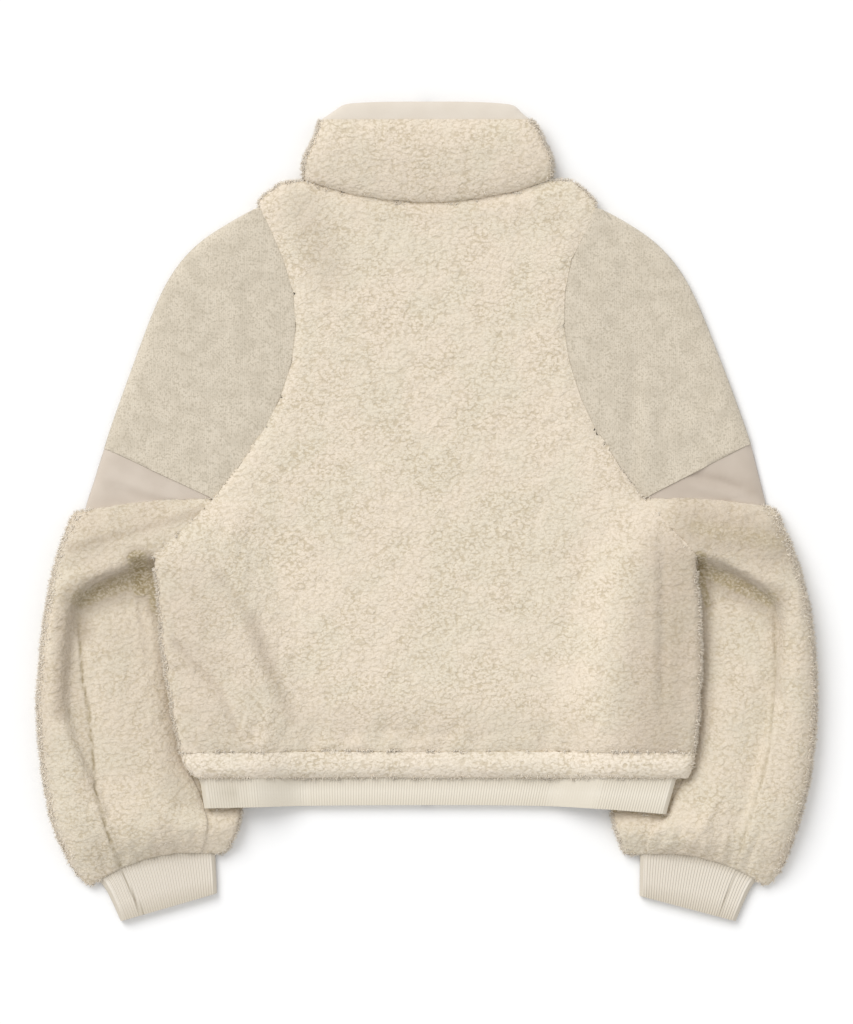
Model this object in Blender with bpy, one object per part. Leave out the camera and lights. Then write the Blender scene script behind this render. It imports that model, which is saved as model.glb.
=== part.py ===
"""A reversible fleece bomber jacket, laid flat on its front with its back up.

The row frame has +Z up, +Y towards the collar and +X to the right of the laid-out back. The origin is under
the middle of the jacket, on the surface that it lies on. Tables are in millimetres: "down" is measured from
the collar's top edge towards the hem, "out" from the centre line to either side, and heights from the surface.
Each piece of cloth is a closed wall between an outer and an inner grid of points.
"""

import math
from typing import NamedTuple

import bmesh
import bpy
import numpy as np
from mathutils import Vector

MM = 0.001
LEFT, RIGHT = -1, 1

# Overall sizes
LENGTH = 820.0  # collar top to cuff end
SEAM = 0.35  # clearance between the edges that a seam joins
LAYER_GAP = 0.5  # clearance between two layers that lie on each other

# Cloth thicknesses, each with its pile and the smooth cloth of the other face
FLEECE = 9.0
KNIT = 6.0
SMOOTH = 4.0
RIB = 4.8

# Body
SHOULDER_DOWN = 100.0  # where the shoulder seam meets the armhole
SHOULDER_BOW = {LEFT: 8.0, RIGHT: 10.0}  # how far each shoulder seam bows up
NECK_HALF = 124.0  # half the neck's width at the shoulder seam
NECK_DOWN = 78.0  # the neck seam at the shoulder
BACK_NECK_DEPTH = 22.0
FRONT_NECK_DEPTH = 67.0
RAMP = 58.0  # how far the body takes to drop from a sleeve to the surface
EDGE_ROUND = 5.0
HEM_SEAM_DOWN = 650.0
HEM_DOWN = 675.5
RIB_RIDGE = 0.9  # on the cuffs
HEM_RIB_RIDGE = 0.6
RIB_PITCH = 2.7
ZIP_HALF = 6.0
ZIP_LOW, ZIP_HIGH = 2.4, 4.4


class BodyRow(NamedTuple):
    """The body at one level: its edges and the sleeves' inner edges under it, out from the centre line."""

    down: float
    left: float
    left_foot: float
    right_foot: float
    right: float
    lift: float  # how high the sleeve under each side carries it


BODY = (
    BodyRow(100.0, 169.0, 124.0, 124.0, 169.0, 0.0),
    BodyRow(111.0, 164.0, 122.0, 122.0, 165.0, 0.0),
    BodyRow(130.0, 154.0, 116.0, 116.0, 157.0, 0.0),
    BodyRow(158.0, 142.0, 108.0, 108.0, 143.0, 0.0),
    BodyRow(190.0, 132.5, 104.0, 104.0, 136.5, 0.0),
    BodyRow(225.0, 129.5, 102.0, 102.0, 135.5, 0.0),
    BodyRow(260.0, 133.5, 106.0, 108.0, 141.0, 0.0),
    BodyRow(298.0, 146.0, 118.0, 122.0, 153.0, 0.0),
    BodyRow(330.0, 163.0, 137.0, 141.0, 168.5, 0.0),
    BodyRow(364.0, 188.0, 163.0, 167.0, 193.0, 0.6),
    BodyRow(397.0, 214.0, 190.0, 194.0, 216.5, 2.0),
    BodyRow(413.5, 229.0, 208.0, 212.0, 232.0, 9.0),
    BodyRow(427.5, 243.0, 214.0, 217.0, 244.0, 14.0),
    BodyRow(440.5, 257.0, 215.0, 217.0, 257.0, 17.0),
    BodyRow(454.0, 272.5, 213.0, 215.0, 268.5, 18.5),
    BodyRow(477.5, 271.0, 208.0, 210.0, 270.0, 18.5),
    BodyRow(507.5, 268.5, 200.0, 202.0, 272.5, 18.5),
    BodyRow(537.5, 266.0, 192.0, 194.0, 274.0, 18.5),
    BodyRow(572.5, 261.0, 185.0, 187.0, 274.0, 18.5),
    BodyRow(607.5, 255.5, 181.0, 182.0, 272.0, 18.5),
    BodyRow(632.5, 250.0, 178.0, 179.0, 269.5, 18.5),
    BodyRow(644.0, 247.5, 178.0, 178.0, 268.0, 18.5),
    BodyRow(HEM_SEAM_DOWN, 246.0, 177.0, 178.0, 267.5, 18.5),
)
LAST_SHOULDER_ROW = 10  # the armhole meets the shoulder panel down to here
UNDERARM_ROW = 14  # and the sleeve down to here


class ShoulderRow(NamedTuple):
    """A section of the shoulder panel, from the armhole seam out to the fold along the top of the sleeve."""

    seam_down: float
    left_seam: float
    right_seam: float
    left_fold_down: float
    left_fold: float
    right_fold_down: float
    right_fold: float


SHOULDER = (
    ShoulderRow(105.5, 167.0, 167.5, 110.0, 179.0, 110.0, 181.0),
    ShoulderRow(130.0, 154.0, 157.0, 125.5, 208.0, 125.5, 210.5),
    ShoulderRow(158.0, 142.0, 143.0, 146.0, 236.0, 147.0, 237.0),
    ShoulderRow(190.0, 132.5, 136.5, 175.0, 259.0, 174.0, 258.5),
    ShoulderRow(225.0, 129.5, 135.5, 211.0, 275.0, 211.0, 275.5),
    ShoulderRow(260.0, 133.5, 141.0, 246.0, 288.0, 246.0, 289.0),
    ShoulderRow(298.0, 146.0, 153.0, 279.0, 300.0, 279.0, 302.0),
    ShoulderRow(330.0, 163.0, 168.5, 307.0, 310.0, 307.0, 312.0),
    ShoulderRow(364.0, 188.0, 193.0, 328.0, 317.5, 326.0, 319.0),
    ShoulderRow(396.5, 213.5, 216.0, 346.0, 323.0, 341.5, 324.0),
)


class SleeveRow(NamedTuple):
    """A section of the fleece sleeve, from its outer fold to the inner edge that lies under the body.

    ridge is where the raised roll along the outer fold ends, and step is the armhole seam or the body's edge.
    """

    outer_down: float
    outer: float
    ridge: float
    step_down: float
    step: float
    inner: float
    rim: float  # height of the roll
    valley: float  # height just inside the roll
    fill: float  # height between the valley and the body
    step_top: float
    hidden: float  # height under the body


LEFT_SLEEVE = (
    SleeveRow(412.5, 355.0, 300.0, 397.7, 214.8, 214.6, 17.0, 17.0, 17.0, 17.0, 0.8),
    SleeveRow(427.5, 361.0, 308.0, 413.5, 229.0, 220.0, 27.0, 28.0, 28.0, 26.0, 7.8),
    SleeveRow(440.5, 366.0, 314.0, 427.5, 243.0, 223.0, 34.0, 35.0, 34.0, 31.0, 12.6),
    SleeveRow(453.5, 370.0, 312.0, 440.5, 257.0, 223.0, 37.0, 38.0, 37.0, 34.5, 15.6),
    SleeveRow(464.5, 373.5, 300.0, 453.0, 272.3, 221.5, 38.0, 37.0, 36.0, 35.0, 17.0),
    SleeveRow(473.0, 375.5, 297.0, 460.0, 272.5, 220.0, 38.0, 27.0, 22.0, 19.0, 17.2),
    SleeveRow(481.5, 377.5, 332.0, 469.0, 272.0, 218.0, 37.5, 16.0, 15.0, 16.0, 17.2),
    SleeveRow(497.5, 380.0, 355.0, 488.0, 271.0, 214.0, 36.5, 15.0, 16.0, 17.0, 17.2),
    SleeveRow(519.5, 383.5, 359.0, 507.5, 268.5, 208.0, 35.0, 16.0, 18.0, 17.2, 17.2),
    SleeveRow(542.5, 386.0, 361.0, 537.5, 266.0, 200.0, 34.0, 18.0, 21.0, 17.4, 17.2),
    SleeveRow(572.5, 389.0, 364.0, 572.5, 261.0, 193.0, 34.0, 20.0, 24.0, 17.6, 17.2),
    SleeveRow(604.0, 390.5, 364.0, 607.5, 255.5, 188.0, 34.5, 21.0, 27.0, 17.8, 17.2),
    SleeveRow(637.5, 389.0, 357.0, 637.5, 249.0, 185.0, 35.0, 22.0, 29.0, 18.0, 17.2),
    SleeveRow(667.5, 386.0, 343.0, 664.0, 241.0, 184.0, 35.5, 23.0, 30.0, 18.0, 17.2),
    SleeveRow(697.5, 381.0, 329.0, 692.0, 226.0, 184.5, 35.0, 25.0, 31.0, 18.0, 17.2),
    SleeveRow(713.0, 378.0, 325.0, 709.0, 222.5, 185.5, 34.0, 26.0, 31.0, 18.0, 17.2),
    SleeveRow(727.0, 374.0, 321.0, 719.0, 219.0, 187.5, 33.0, 26.0, 31.0, 28.0, 24.5),
    SleeveRow(748.0, 365.0, 316.0, 731.0, 220.0, 191.5, 29.0, 24.0, 28.0, 26.0, 23.0),
    SleeveRow(769.0, 354.0, 312.0, 742.0, 223.0, 195.5, 22.5, 20.0, 22.0, 20.5, 17.0),
    SleeveRow(785.5, 339.0, 308.0, 751.5, 227.0, 201.0, 13.0, 13.0, 13.5, 13.0, 11.0),
)
RIGHT_SLEEVE = (
    SleeveRow(407.5, 349.0, 296.0, 397.7, 217.1, 216.9, 17.0, 17.0, 17.0, 17.0, 0.8),
    SleeveRow(424.5, 357.0, 306.0, 413.5, 232.0, 221.0, 27.0, 28.0, 28.0, 26.0, 7.8),
    SleeveRow(438.0, 363.0, 313.0, 427.5, 244.0, 224.0, 34.0, 34.0, 34.0, 31.0, 12.6),
    SleeveRow(451.0, 368.0, 316.0, 440.5, 257.0, 224.0, 37.0, 37.0, 37.0, 34.5, 15.6),
    SleeveRow(461.5, 372.0, 300.0, 453.0, 267.7, 222.5, 38.0, 37.0, 36.0, 35.0, 17.0),
    SleeveRow(471.0, 375.0, 301.0, 460.0, 269.0, 221.0, 38.0, 27.0, 22.0, 19.0, 17.2),
    SleeveRow(481.0, 377.5, 324.0, 469.0, 269.5, 219.0, 37.5, 16.0, 15.0, 16.0, 17.2),
    SleeveRow(497.5, 380.5, 350.0, 488.0, 271.0, 215.0, 36.5, 15.0, 16.0, 17.0, 17.2),
    SleeveRow(519.5, 385.0, 359.0, 507.5, 272.5, 209.0, 35.0, 16.0, 18.0, 17.2, 17.2),
    SleeveRow(542.5, 388.0, 358.0, 537.5, 274.0, 201.0, 34.0, 18.0, 21.0, 17.4, 17.2),
    SleeveRow(572.5, 390.0, 355.0, 572.5, 274.0, 194.0, 34.0, 20.0, 24.0, 17.6, 17.2),
    SleeveRow(604.0, 390.5, 350.0, 607.5, 272.0, 189.0, 34.5, 21.0, 26.0, 17.8, 17.2),
    SleeveRow(637.5, 388.5, 342.0, 637.5, 269.0, 186.0, 35.0, 22.0, 27.0, 18.0, 17.2),
    SleeveRow(667.5, 385.0, 336.0, 664.0, 265.0, 184.5, 35.5, 23.0, 28.0, 18.0, 17.2),
    SleeveRow(697.5, 379.0, 328.0, 694.0, 246.0, 184.0, 35.0, 25.0, 30.0, 18.0, 17.2),
    SleeveRow(713.0, 374.5, 324.0, 714.0, 240.0, 184.5, 34.0, 26.0, 31.0, 18.0, 17.2),
    SleeveRow(727.0, 370.5, 321.0, 724.0, 228.0, 187.0, 33.0, 26.0, 31.0, 28.0, 24.5),
    SleeveRow(748.0, 363.5, 315.0, 735.0, 222.0, 191.0, 29.0, 24.0, 28.0, 26.0, 23.0),
    SleeveRow(768.0, 356.0, 311.0, 744.0, 220.0, 194.0, 22.5, 20.0, 22.0, 20.5, 17.0),
    SleeveRow(785.5, 342.0, 307.0, 752.5, 222.0, 197.0, 13.0, 13.0, 13.5, 13.0, 11.0),
)
ELBOW_BOW = 5.0  # how far the fleece sleeve's top seam bows up
CUFF_BOW = 12.0  # how far the cuff seam bows up
SLEEVE_LAYER = 6.5  # the sleeve's lower layer
SLEEVE_SLIT = 0.8
SLEEVE_FOLD = 9.0  # cloth at the sleeve's folds, in from the edge


class CuffEnd(NamedTuple):
    """Where a cuff's two folded edges start and end, out and down."""

    outer_top: tuple
    inner_top: tuple
    outer_end: tuple
    inner_end: tuple


LEFT_CUFF = CuffEnd((329.0, 783.0), (212.5, 752.0), (307.0, 820.0), (210.5, 792.0))
RIGHT_CUFF = CuffEnd((330.5, 782.0), (213.5, 754.0), (309.5, 820.0), (213.0, 794.5))
CUFF_RIBS = 40


class CollarRow(NamedTuple):
    """The collar across, out from the centre line, and its highest and lowest point there."""

    along: float  # from the top edge, 0, to the neck seam, 1
    left: float
    right: float
    low: float
    high: float
    inner_high: float  # where the top layer's inner face lies


COLLAR_TOP_DOWN = 18.7
COLLAR = (
    CollarRow(0.00, 108.0, 106.0, 1.0, 22.5, 15.9),
    CollarRow(0.12, 110.0, 112.0, 0.0, 25.5, 15.9),
    CollarRow(0.35, 114.5, 118.5, 0.0, 26.5, 15.9),
    CollarRow(0.60, 123.0, 125.0, 0.0, 25.6, 15.8),
    CollarRow(0.80, 125.0, 127.5, 0.0, 23.8, 14.0),
    CollarRow(0.93, 124.5, 126.5, 0.0, 21.4, 10.4),
    CollarRow(1.00, 123.5, 124.0, 0.5, 17.6, 9.8),
)


class FacingRow(NamedTuple):
    """The facing inside the collar, which rolls out over its top edge."""

    down: float
    left: float
    right: float
    low: float
    high: float


FACING_ROWS = (
    FacingRow(62.0, 112.0, 113.0, 9.6, 15.4),
    FacingRow(40.0, 104.0, 106.0, 9.6, 15.5),
    FacingRow(18.3, 96.0, 94.0, 9.6, 15.5),
    FacingRow(17.8, 106.5, 103.5, 1.5, 22.0),
    FacingRow(10.0, 94.5, 94.0, 2.0, 20.5),
    FacingRow(3.5, 89.0, 91.0, 4.5, 18.5),
    FacingRow(0.0, 83.0, 86.0, 8.5, 16.0),
)
SLIT_LOW, SLIT_HIGH = 12.0, 13.2  # the neck opening, closed flat
FACING_ARCH = 3.0  # how much lower the facing's top edge is at its ends


class Fold(NamedTuple):
    """A crease in the top layer, from one end to the other, as a soft ridge or, below 0, a trough."""

    start: tuple  # across, down
    end: tuple
    width: float
    height: float


BODY_FOLDS = (
    Fold((-262.0, 540.0), (-200.0, 640.0), 17.0, 3.0),
    Fold((-238.0, 545.0), (-188.0, 635.0), 15.0, -3.0),
    Fold((-216.0, 420.0), (-168.0, 610.0), 22.0, -3.5),
    Fold((236.0, 430.0), (236.0, 600.0), 20.0, -3.0),
    Fold((-150.0, 628.0), (60.0, 632.0), 14.0, -2.0),
    Fold((-226.0, 398.0), (-120.0, 470.0), 26.0, -2.0),
    Fold((226.0, 398.0), (130.0, 480.0), 26.0, -2.0),
)
SLEEVE_FOLDS = (
    Fold((-368.0, 470.0), (-262.0, 414.0), 15.0, -5.0),
    Fold((372.0, 476.0), (270.0, 418.0), 16.0, -4.0),
    Fold((-290.0, 500.0), (-300.0, 620.0), 18.0, -2.0),
    Fold((300.0, 505.0), (296.0, 640.0), 18.0, -2.0),
    Fold((-285.0, 690.0), (-262.0, 745.0), 14.0, 3.0),
    Fold((-240.0, 700.0), (-225.0, 740.0), 12.0, 2.5),
    Fold((290.0, 690.0), (270.0, 745.0), 14.0, 3.0),
    Fold((244.0, 716.0), (236.0, 745.0), 12.0, 2.5),
)


def lerp(a, b, t):
    return a + (b - a) * t


def smooth(t):
    t = min(max(t, 0.0), 1.0)
    return t * t * (3.0 - 2.0 * t)


def place(point):
    """A point given as across, down and height, in the row frame and in metres."""
    across, down, height = point
    return Vector((across, LENGTH / 2 - down, height)) * MM


def fold_height(folds, across, down):
    """How much the creases raise the cloth at a point: round across each crease and fading at its ends."""
    total = 0.0
    for fold in folds:
        along = Vector(fold.end) - Vector(fold.start)
        off = Vector((across, down)) - Vector(fold.start)
        t = off.dot(along) / along.length_squared
        aside = (off - along * t).length / fold.width
        if aside < 1.0 and -0.2 < t < 1.2:
            fade = smooth((t + 0.2) / 0.4) * smooth((1.2 - t) / 0.4)
            total += fold.height * fade * (0.5 + 0.5 * math.cos(math.pi * aside))
    return total


def fabric(name, color, roughness, metallic=0.0):
    """A material of one colour, roughness and metallic value."""
    material = bpy.data.materials.new(name)
    material.use_nodes = True
    shader = material.node_tree.nodes["Principled BSDF"]
    shader.inputs["Base Color"].default_value = (*color, 1.0)
    shader.inputs["Roughness"].default_value = roughness
    shader.inputs["Metallic"].default_value = metallic
    return material


def add_grid(bm, grid, cyclic):
    """Vertices and faces of a grid of points, whose rows may close on themselves."""
    rows = [[bm.verts.new(place(point)) for point in row] for row in grid]
    columns = len(rows[0])
    for upper, lower in zip(rows, rows[1:]):
        for j in range(columns if cyclic else columns - 1):
            k = (j + 1) % columns
            bm.faces.new((upper[j], upper[k], lower[k], lower[j]))
    return rows


def add_strip(bm, first, second, cyclic=False):
    """Faces between two lines of as many vertices."""
    count = len(first)
    for j in range(count if cyclic else count - 1):
        k = (j + 1) % count
        bm.faces.new((first[j], first[k], second[k], second[j]))


def finish_solid(bm, name, material, collection):
    """The mesh as a named object with its faces pointing out."""
    bmesh.ops.recalc_face_normals(bm, faces=bm.faces)
    mesh = bpy.data.meshes.new(name)
    bm.to_mesh(mesh)
    bm.free()
    mesh.materials.append(material)
    mesh.shade_smooth()
    mesh.set_sharp_from_angle(angle=math.radians(50))
    solid = bpy.data.objects.new(name, mesh)
    collection.objects.link(solid)
    return solid


def wall(name, outer, inner, material, collection, cyclic=False):
    """A wall of cloth between its outer and inner grids, closed round the edges."""
    bm = bmesh.new()
    out = add_grid(bm, outer, cyclic)
    back = add_grid(bm, inner, cyclic)
    add_strip(bm, out[0], back[0], cyclic)
    add_strip(bm, out[-1], back[-1], cyclic)
    if not cyclic:
        for side in (0, -1):
            add_strip(bm, [row[side] for row in out], [row[side] for row in back])
    return finish_solid(bm, name, material, collection)


# ---------------------------------------------------------------- body


def neck_seam(across, depth):
    """How far down the neck seam lies, from the shoulder seam to a depth at the centre."""
    return NECK_DOWN + depth * (1.0 - (across / NECK_HALF) ** 2)


def body_columns(edge, foot, middle):
    """Across positions from a side edge to the middle, closer where the cloth rounds or ramps down."""
    ramp_end = foot - RAMP * math.copysign(1.0, foot)
    round_in = math.copysign(EDGE_ROUND, edge)
    columns = [edge, edge - round_in, lerp(edge, foot, 0.5), foot]
    columns += [lerp(foot, ramp_end, t) for t in (0.35, 0.68, 1.0)]
    columns += [lerp(ramp_end, middle, t) for t in (0.25, 0.5, 0.75, 1.0)]
    return columns


def body_lift(row, across):
    """How high the sleeves underneath carry the body's underside at this point."""
    foot = row.left_foot if across < 0 else row.right_foot
    return row.lift * smooth((abs(across) - (foot - RAMP)) / RAMP)


def body_down(row, across, neck_depth):
    """The level of a point of a row: the rows follow the shoulder and neck seams and straighten below."""
    edge = row.left if across < 0 else row.right
    neck = row.left_foot if across < 0 else row.right_foot
    fade = 1.0 - smooth((row.down - SHOULDER_DOWN) / 150.0)
    if abs(across) > neck:
        slope = (abs(across) - neck) / (edge - neck)
        bow = SHOULDER_BOW[LEFT if across < 0 else RIGHT]
        top = lerp(NECK_DOWN, SHOULDER_DOWN, slope) - bow * 4 * slope * (1 - slope)
    else:
        top = neck_seam(across * NECK_HALF / neck, neck_depth)
    shift = lerp(top + SEAM - SHOULDER_DOWN, 0.0, 1.0 - fade)
    return row.down + shift


def body_edge_drop(index, j, last):
    """How far the outer surface drops towards a seam or a folded edge: at the edge and just inside it."""
    drop = 0.0
    folded = index > UNDERARM_ROW
    if j in (0, last):
        drop = 6.5 if folded else 2.8
    elif j in (1, last - 1):
        drop = 1.6 if folded else 0.6
    row_drop = {0: 4.5, 1: 0.8, len(BODY) - 2: 0.4, len(BODY) - 1: 2.0}.get(index, 0.0)
    return max(drop, row_drop)


def body_grid(columns_of, surface, neck_depth):
    """A grid of body points, with its height from surface(row, across, index, j, last)."""
    grid = []
    for index, row in enumerate(BODY):
        columns = columns_of(row)
        last = len(columns) - 1
        grid.append(
            [
                (x, body_down(row, x, neck_depth), surface(row, x, index, j, last))
                for j, x in enumerate(columns)
            ]
        )
    return grid


def back_columns(row):
    left = body_columns(-row.left + SEAM, -row.left_foot, 0.0)
    right = body_columns(row.right - SEAM, row.right_foot, 0.0)
    return left + right[-2::-1]


def front_columns(side):
    """Columns of one front, from its side edge to its zip edge."""

    def columns(row):
        if side == LEFT:
            return body_columns(-row.left + SEAM, -row.left_foot, -ZIP_HALF)
        return body_columns(row.right - SEAM, row.right_foot, ZIP_HALF)

    return columns


def build_back(material, collection):
    """The back panel: fleece over the two fronts, one piece from side to side."""

    def outer(row, x, index, j, last):
        top = body_lift(row, x) + 2 * FLEECE + LAYER_GAP
        crease = fold_height(BODY_FOLDS, x, row.down) if 0 < j < last else 0.0
        return top + crease - body_edge_drop(index, j, last)

    def inner(row, x, index, j, last):
        return body_lift(row, x) + FLEECE + LAYER_GAP

    grids = [body_grid(back_columns, s, BACK_NECK_DEPTH) for s in (outer, inner)]
    wall("back_panel", *grids, material, collection)


def build_front(name, side, material, collection):
    """One front: fleece under the back, flat on the surface, from the side seam to the zip."""

    def outer(row, x, index, j, last):
        low = body_lift(row, x)
        if index > UNDERARM_ROW:
            low += {0: 6.5, 1: 1.6}.get(j, 0.0)
        return low

    def inner(row, x, index, j, last):
        return body_lift(row, x) + FLEECE

    columns = front_columns(side)
    grids = [body_grid(columns, s, FRONT_NECK_DEPTH) for s in (outer, inner)]
    wall(name, *grids, material, collection)


# ---------------------------------------------------------------- shoulder and elbow panels


# Points of a flat tube's section: the share from the seam, 0, to the fold, 1, and how far in from there in mm
PANEL_TOP = ((0.0, 0.0), (0.06, 0.0), (0.35, 0.0), (0.65, 0.0), (1.0, 13.0), (1.0, 4.0), (1.0, 0.0))
PANEL_BOTTOM = ((1.0, 4.0), (1.0, 13.0), (0.5, 0.0), (0.0, 0.0))


def panel_section(seam, fold, seam_top, fold_top, thickness):
    """Outer and inner points of a C-shaped section, from the back seam round the fold to the front seam."""
    span = math.dist(seam, fold)
    scale = min(1.0, span / 32.0)
    middle = thickness + LAYER_GAP / 2
    outer, inner = [], []
    count = len(PANEL_TOP) + len(PANEL_BOTTOM)
    for i, (share, in_mm) in enumerate(PANEL_TOP + PANEL_BOTTOM):
        top_layer = i < len(PANEL_TOP)
        t = share - in_mm * scale / span
        flat = lerp(seam_top, fold_top, smooth(t))
        if not top_layer:
            height = {4.0: 2.2}.get(in_mm, 0.0)
        elif share == 1.0:
            height = {0.0: middle, 4.0: flat - 3.2, 13.0: flat - 0.4}[in_mm]
        else:
            height = flat - (1.5 if i == 0 else 0.0)
        outer.append((lerp(seam[0], fold[0], t), lerp(seam[1], fold[1], t), height))
        t_in = min(t, 1.0 - (thickness + 2.0 + 0.4 * abs(i - 6)) * scale / span)
        if top_layer:
            height_in = max(middle + LAYER_GAP / 2, height - thickness)
        else:
            height_in = middle - LAYER_GAP / 2
        if i == len(PANEL_TOP) - 1:
            height_in = middle
        inner.append((lerp(seam[0], fold[0], t_in), lerp(seam[1], fold[1], t_in), height_in))
    assert len(outer) == count
    return outer, inner


def shoulder_ends(row, side):
    """The seam end and the fold end of a shoulder section, across and down."""
    if side == LEFT:
        return (-row.left_seam - SEAM, row.seam_down), (-row.left_fold, row.left_fold_down)
    return (row.right_seam + SEAM, row.seam_down), (row.right_fold, row.right_fold_down)


def build_shoulder(name, side, material, collection):
    """The knit shoulder panel, folded along the top of the sleeve and sewn to the back and the front."""
    outer, inner = [], []
    for row in SHOULDER:
        seam, fold = shoulder_ends(row, side)
        out, back = panel_section(seam, fold, 2 * KNIT + 4.5, 2 * KNIT + 1.5, KNIT)
        outer.append(out)
        inner.append(back)
    wall(name, outer, inner, material, collection)


BOTTOM_EASE = 1.4  # the underside has few sections, so it stays further from the seam's curve


def elbow_seam(rows, across):
    """How far down the elbow band's lower edge lies at this distance out."""
    return min(sleeve_end(rows, 0, abs(across))) - 0.5


def build_elbow(name, side, rows, material, collection):
    """The smooth wedge between the shoulder panel and the fleece sleeve, folded as they are."""
    seam, fold = shoulder_ends(SHOULDER[-1], side)
    slope = (Vector(fold) - Vector(seam)).normalized()
    away = Vector((-slope.y, slope.x)) * (SEAM + 0.15) * side
    upper = [tuple(Vector(p) + away) for p in (seam, fold)]
    lower_fold = rows[0].outer - (12.0 if side == LEFT else 9.0)
    outer, inner = [], []
    for t in (0.0, 0.5, 1.0):
        start = (upper[0][0], upper[0][1] + 0.35 * t)
        low = (side * lower_fold, elbow_seam(rows, lower_fold))
        end = (lerp(upper[1][0], low[0], t), lerp(upper[1][1], low[1], t))
        out, back = panel_section(start, end, 2 * KNIT + 3.5, 2 * SMOOTH + 4.0, SMOOTH)
        if t == 1.0:
            out = [(x, min(d, elbow_seam(rows, x) - (h < SMOOTH) * BOTTOM_EASE), h) for x, d, h in out]
            back = [(x, min(d, elbow_seam(rows, x) - (h < 5.0) * BOTTOM_EASE), h) for x, d, h in back]
        outer.append(out)
        inner.append(back)
    wall(name, outer, inner, material, collection)


# ---------------------------------------------------------------- fleece sleeves and cuffs


def sleeve_profile(row):
    """Out and height round a sleeve's section, over the top from the outer fold and back underneath."""
    roll = row.outer - row.ridge
    valley_at = row.ridge - 7.0
    half = row.hidden * 0.5
    top = [
        (row.outer, row.rim * 0.42),
        (row.outer - 0.13 * roll, row.rim * 0.80),
        (row.outer - 0.42 * roll, row.rim),
        (row.ridge + 0.14 * roll, row.rim * 0.97),
        (row.ridge, lerp(row.rim, row.valley, 0.22)),
        (valley_at, row.valley),
        (lerp(valley_at, row.step, 0.4), row.fill),
        (lerp(valley_at, row.step, 0.75), lerp(row.fill, row.step_top, 0.3)),
        (row.step + SEAM, row.step_top),
        (row.step + SEAM - 0.1, row.hidden),
        (lerp(row.step, row.inner, 0.6), row.hidden),
        (lerp(row.step, row.inner, 0.92), row.hidden * 0.88),
        (row.inner, half),
    ]
    return top, [
        (row.inner + 3.0 * smooth(half / 6.0), 0.0),
        (lerp(row.inner, row.outer, 0.25), 0.0),
        (lerp(row.inner, row.outer, 0.45), 0.0),
        (lerp(row.inner, row.outer, 0.65), 0.0),
        (lerp(row.inner, row.outer, 0.82), 0.0),
        (row.outer - 11.0, 0.0),
        (row.outer - 3.0, row.rim * 0.14),
    ]


def sleeve_section(row, side, bow, folds):
    """Outer and inner loops of a sleeve's section, as points across, down and high."""
    top, bottom = sleeve_profile(row)
    slit_end = row.inner + SLEEVE_FOLD if row.hidden > 14.0 else row.step + SLEEVE_FOLD
    outer, inner = [], []
    for i, (out, height) in enumerate(top + bottom):
        t = (out - row.step) / (row.outer - row.step)
        down = row.step_down
        if t > 0:
            down = lerp(row.step_down, row.outer_down, t) - bow * 4 * t * (1 - t)
        crease = fold_height(folds, side * out, down) if 1 < i < 8 else 0.0
        outer.append((side * out, down, height + crease))
        upper = 0 < i < len(top) - 1
        lower = i >= len(top)
        keep = SLEEVE_FOLD + 0.15 * abs(i - 14 if lower else i - 6)
        nearest = slit_end + (0.1 * (len(top) - i) if upper else 0.4 * (i - len(top)) * lower)
        out_in = min(max(out, nearest), row.outer - keep)
        slit = SLEEVE_LAYER + SLEEVE_SLIT * (1.0 if upper else 0.0 if lower else 0.5)
        t = (out_in - row.step) / (row.outer - row.step)
        down = row.step_down
        if t > 0:
            down = lerp(row.step_down, row.outer_down, t) - bow * 4 * t * (1 - t)
        inner.append((side * out_in, down, slit))
    return outer, inner


def sleeve_bow(rows, index):
    """How far a section bows up in its middle."""
    last = len(rows) - 1
    return {0: ELBOW_BOW, last - 1: CUFF_BOW * 0.6, last: CUFF_BOW}.get(index, 0.0)


def sleeve_end(rows, index, out):
    """The level of an end section of the sleeve at this distance out, on its top and on its underside."""
    row = rows[index]
    loop = sleeve_section(row, RIGHT, sleeve_bow(rows, rows.index(row)), ())[0]
    levels = []
    for line in (loop[:13][::-1], loop[12:] + loop[:1]):
        outs = [point[0] for point in line]
        downs = [point[1] for point in line]
        levels.append(float(np.interp(out, outs, downs)))
    return levels


def build_sleeve(name, side, rows, material, collection):
    """The fleece sleeve: a flat tube from the elbow seam to the cuff, whose folded cloth makes the roll."""
    outer, inner = [], []
    for index, row in enumerate(rows):
        out, back = sleeve_section(row, side, sleeve_bow(rows, index), SLEEVE_FOLDS)
        outer.append(out)
        inner.append(back)
    wall(name, outer, inner, material, collection, cyclic=True)


def cuff_seam(rows, across):
    """How far down the cuff's top edge lies at this distance out."""
    return max(sleeve_end(rows, -1, across)) + 0.5


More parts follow.
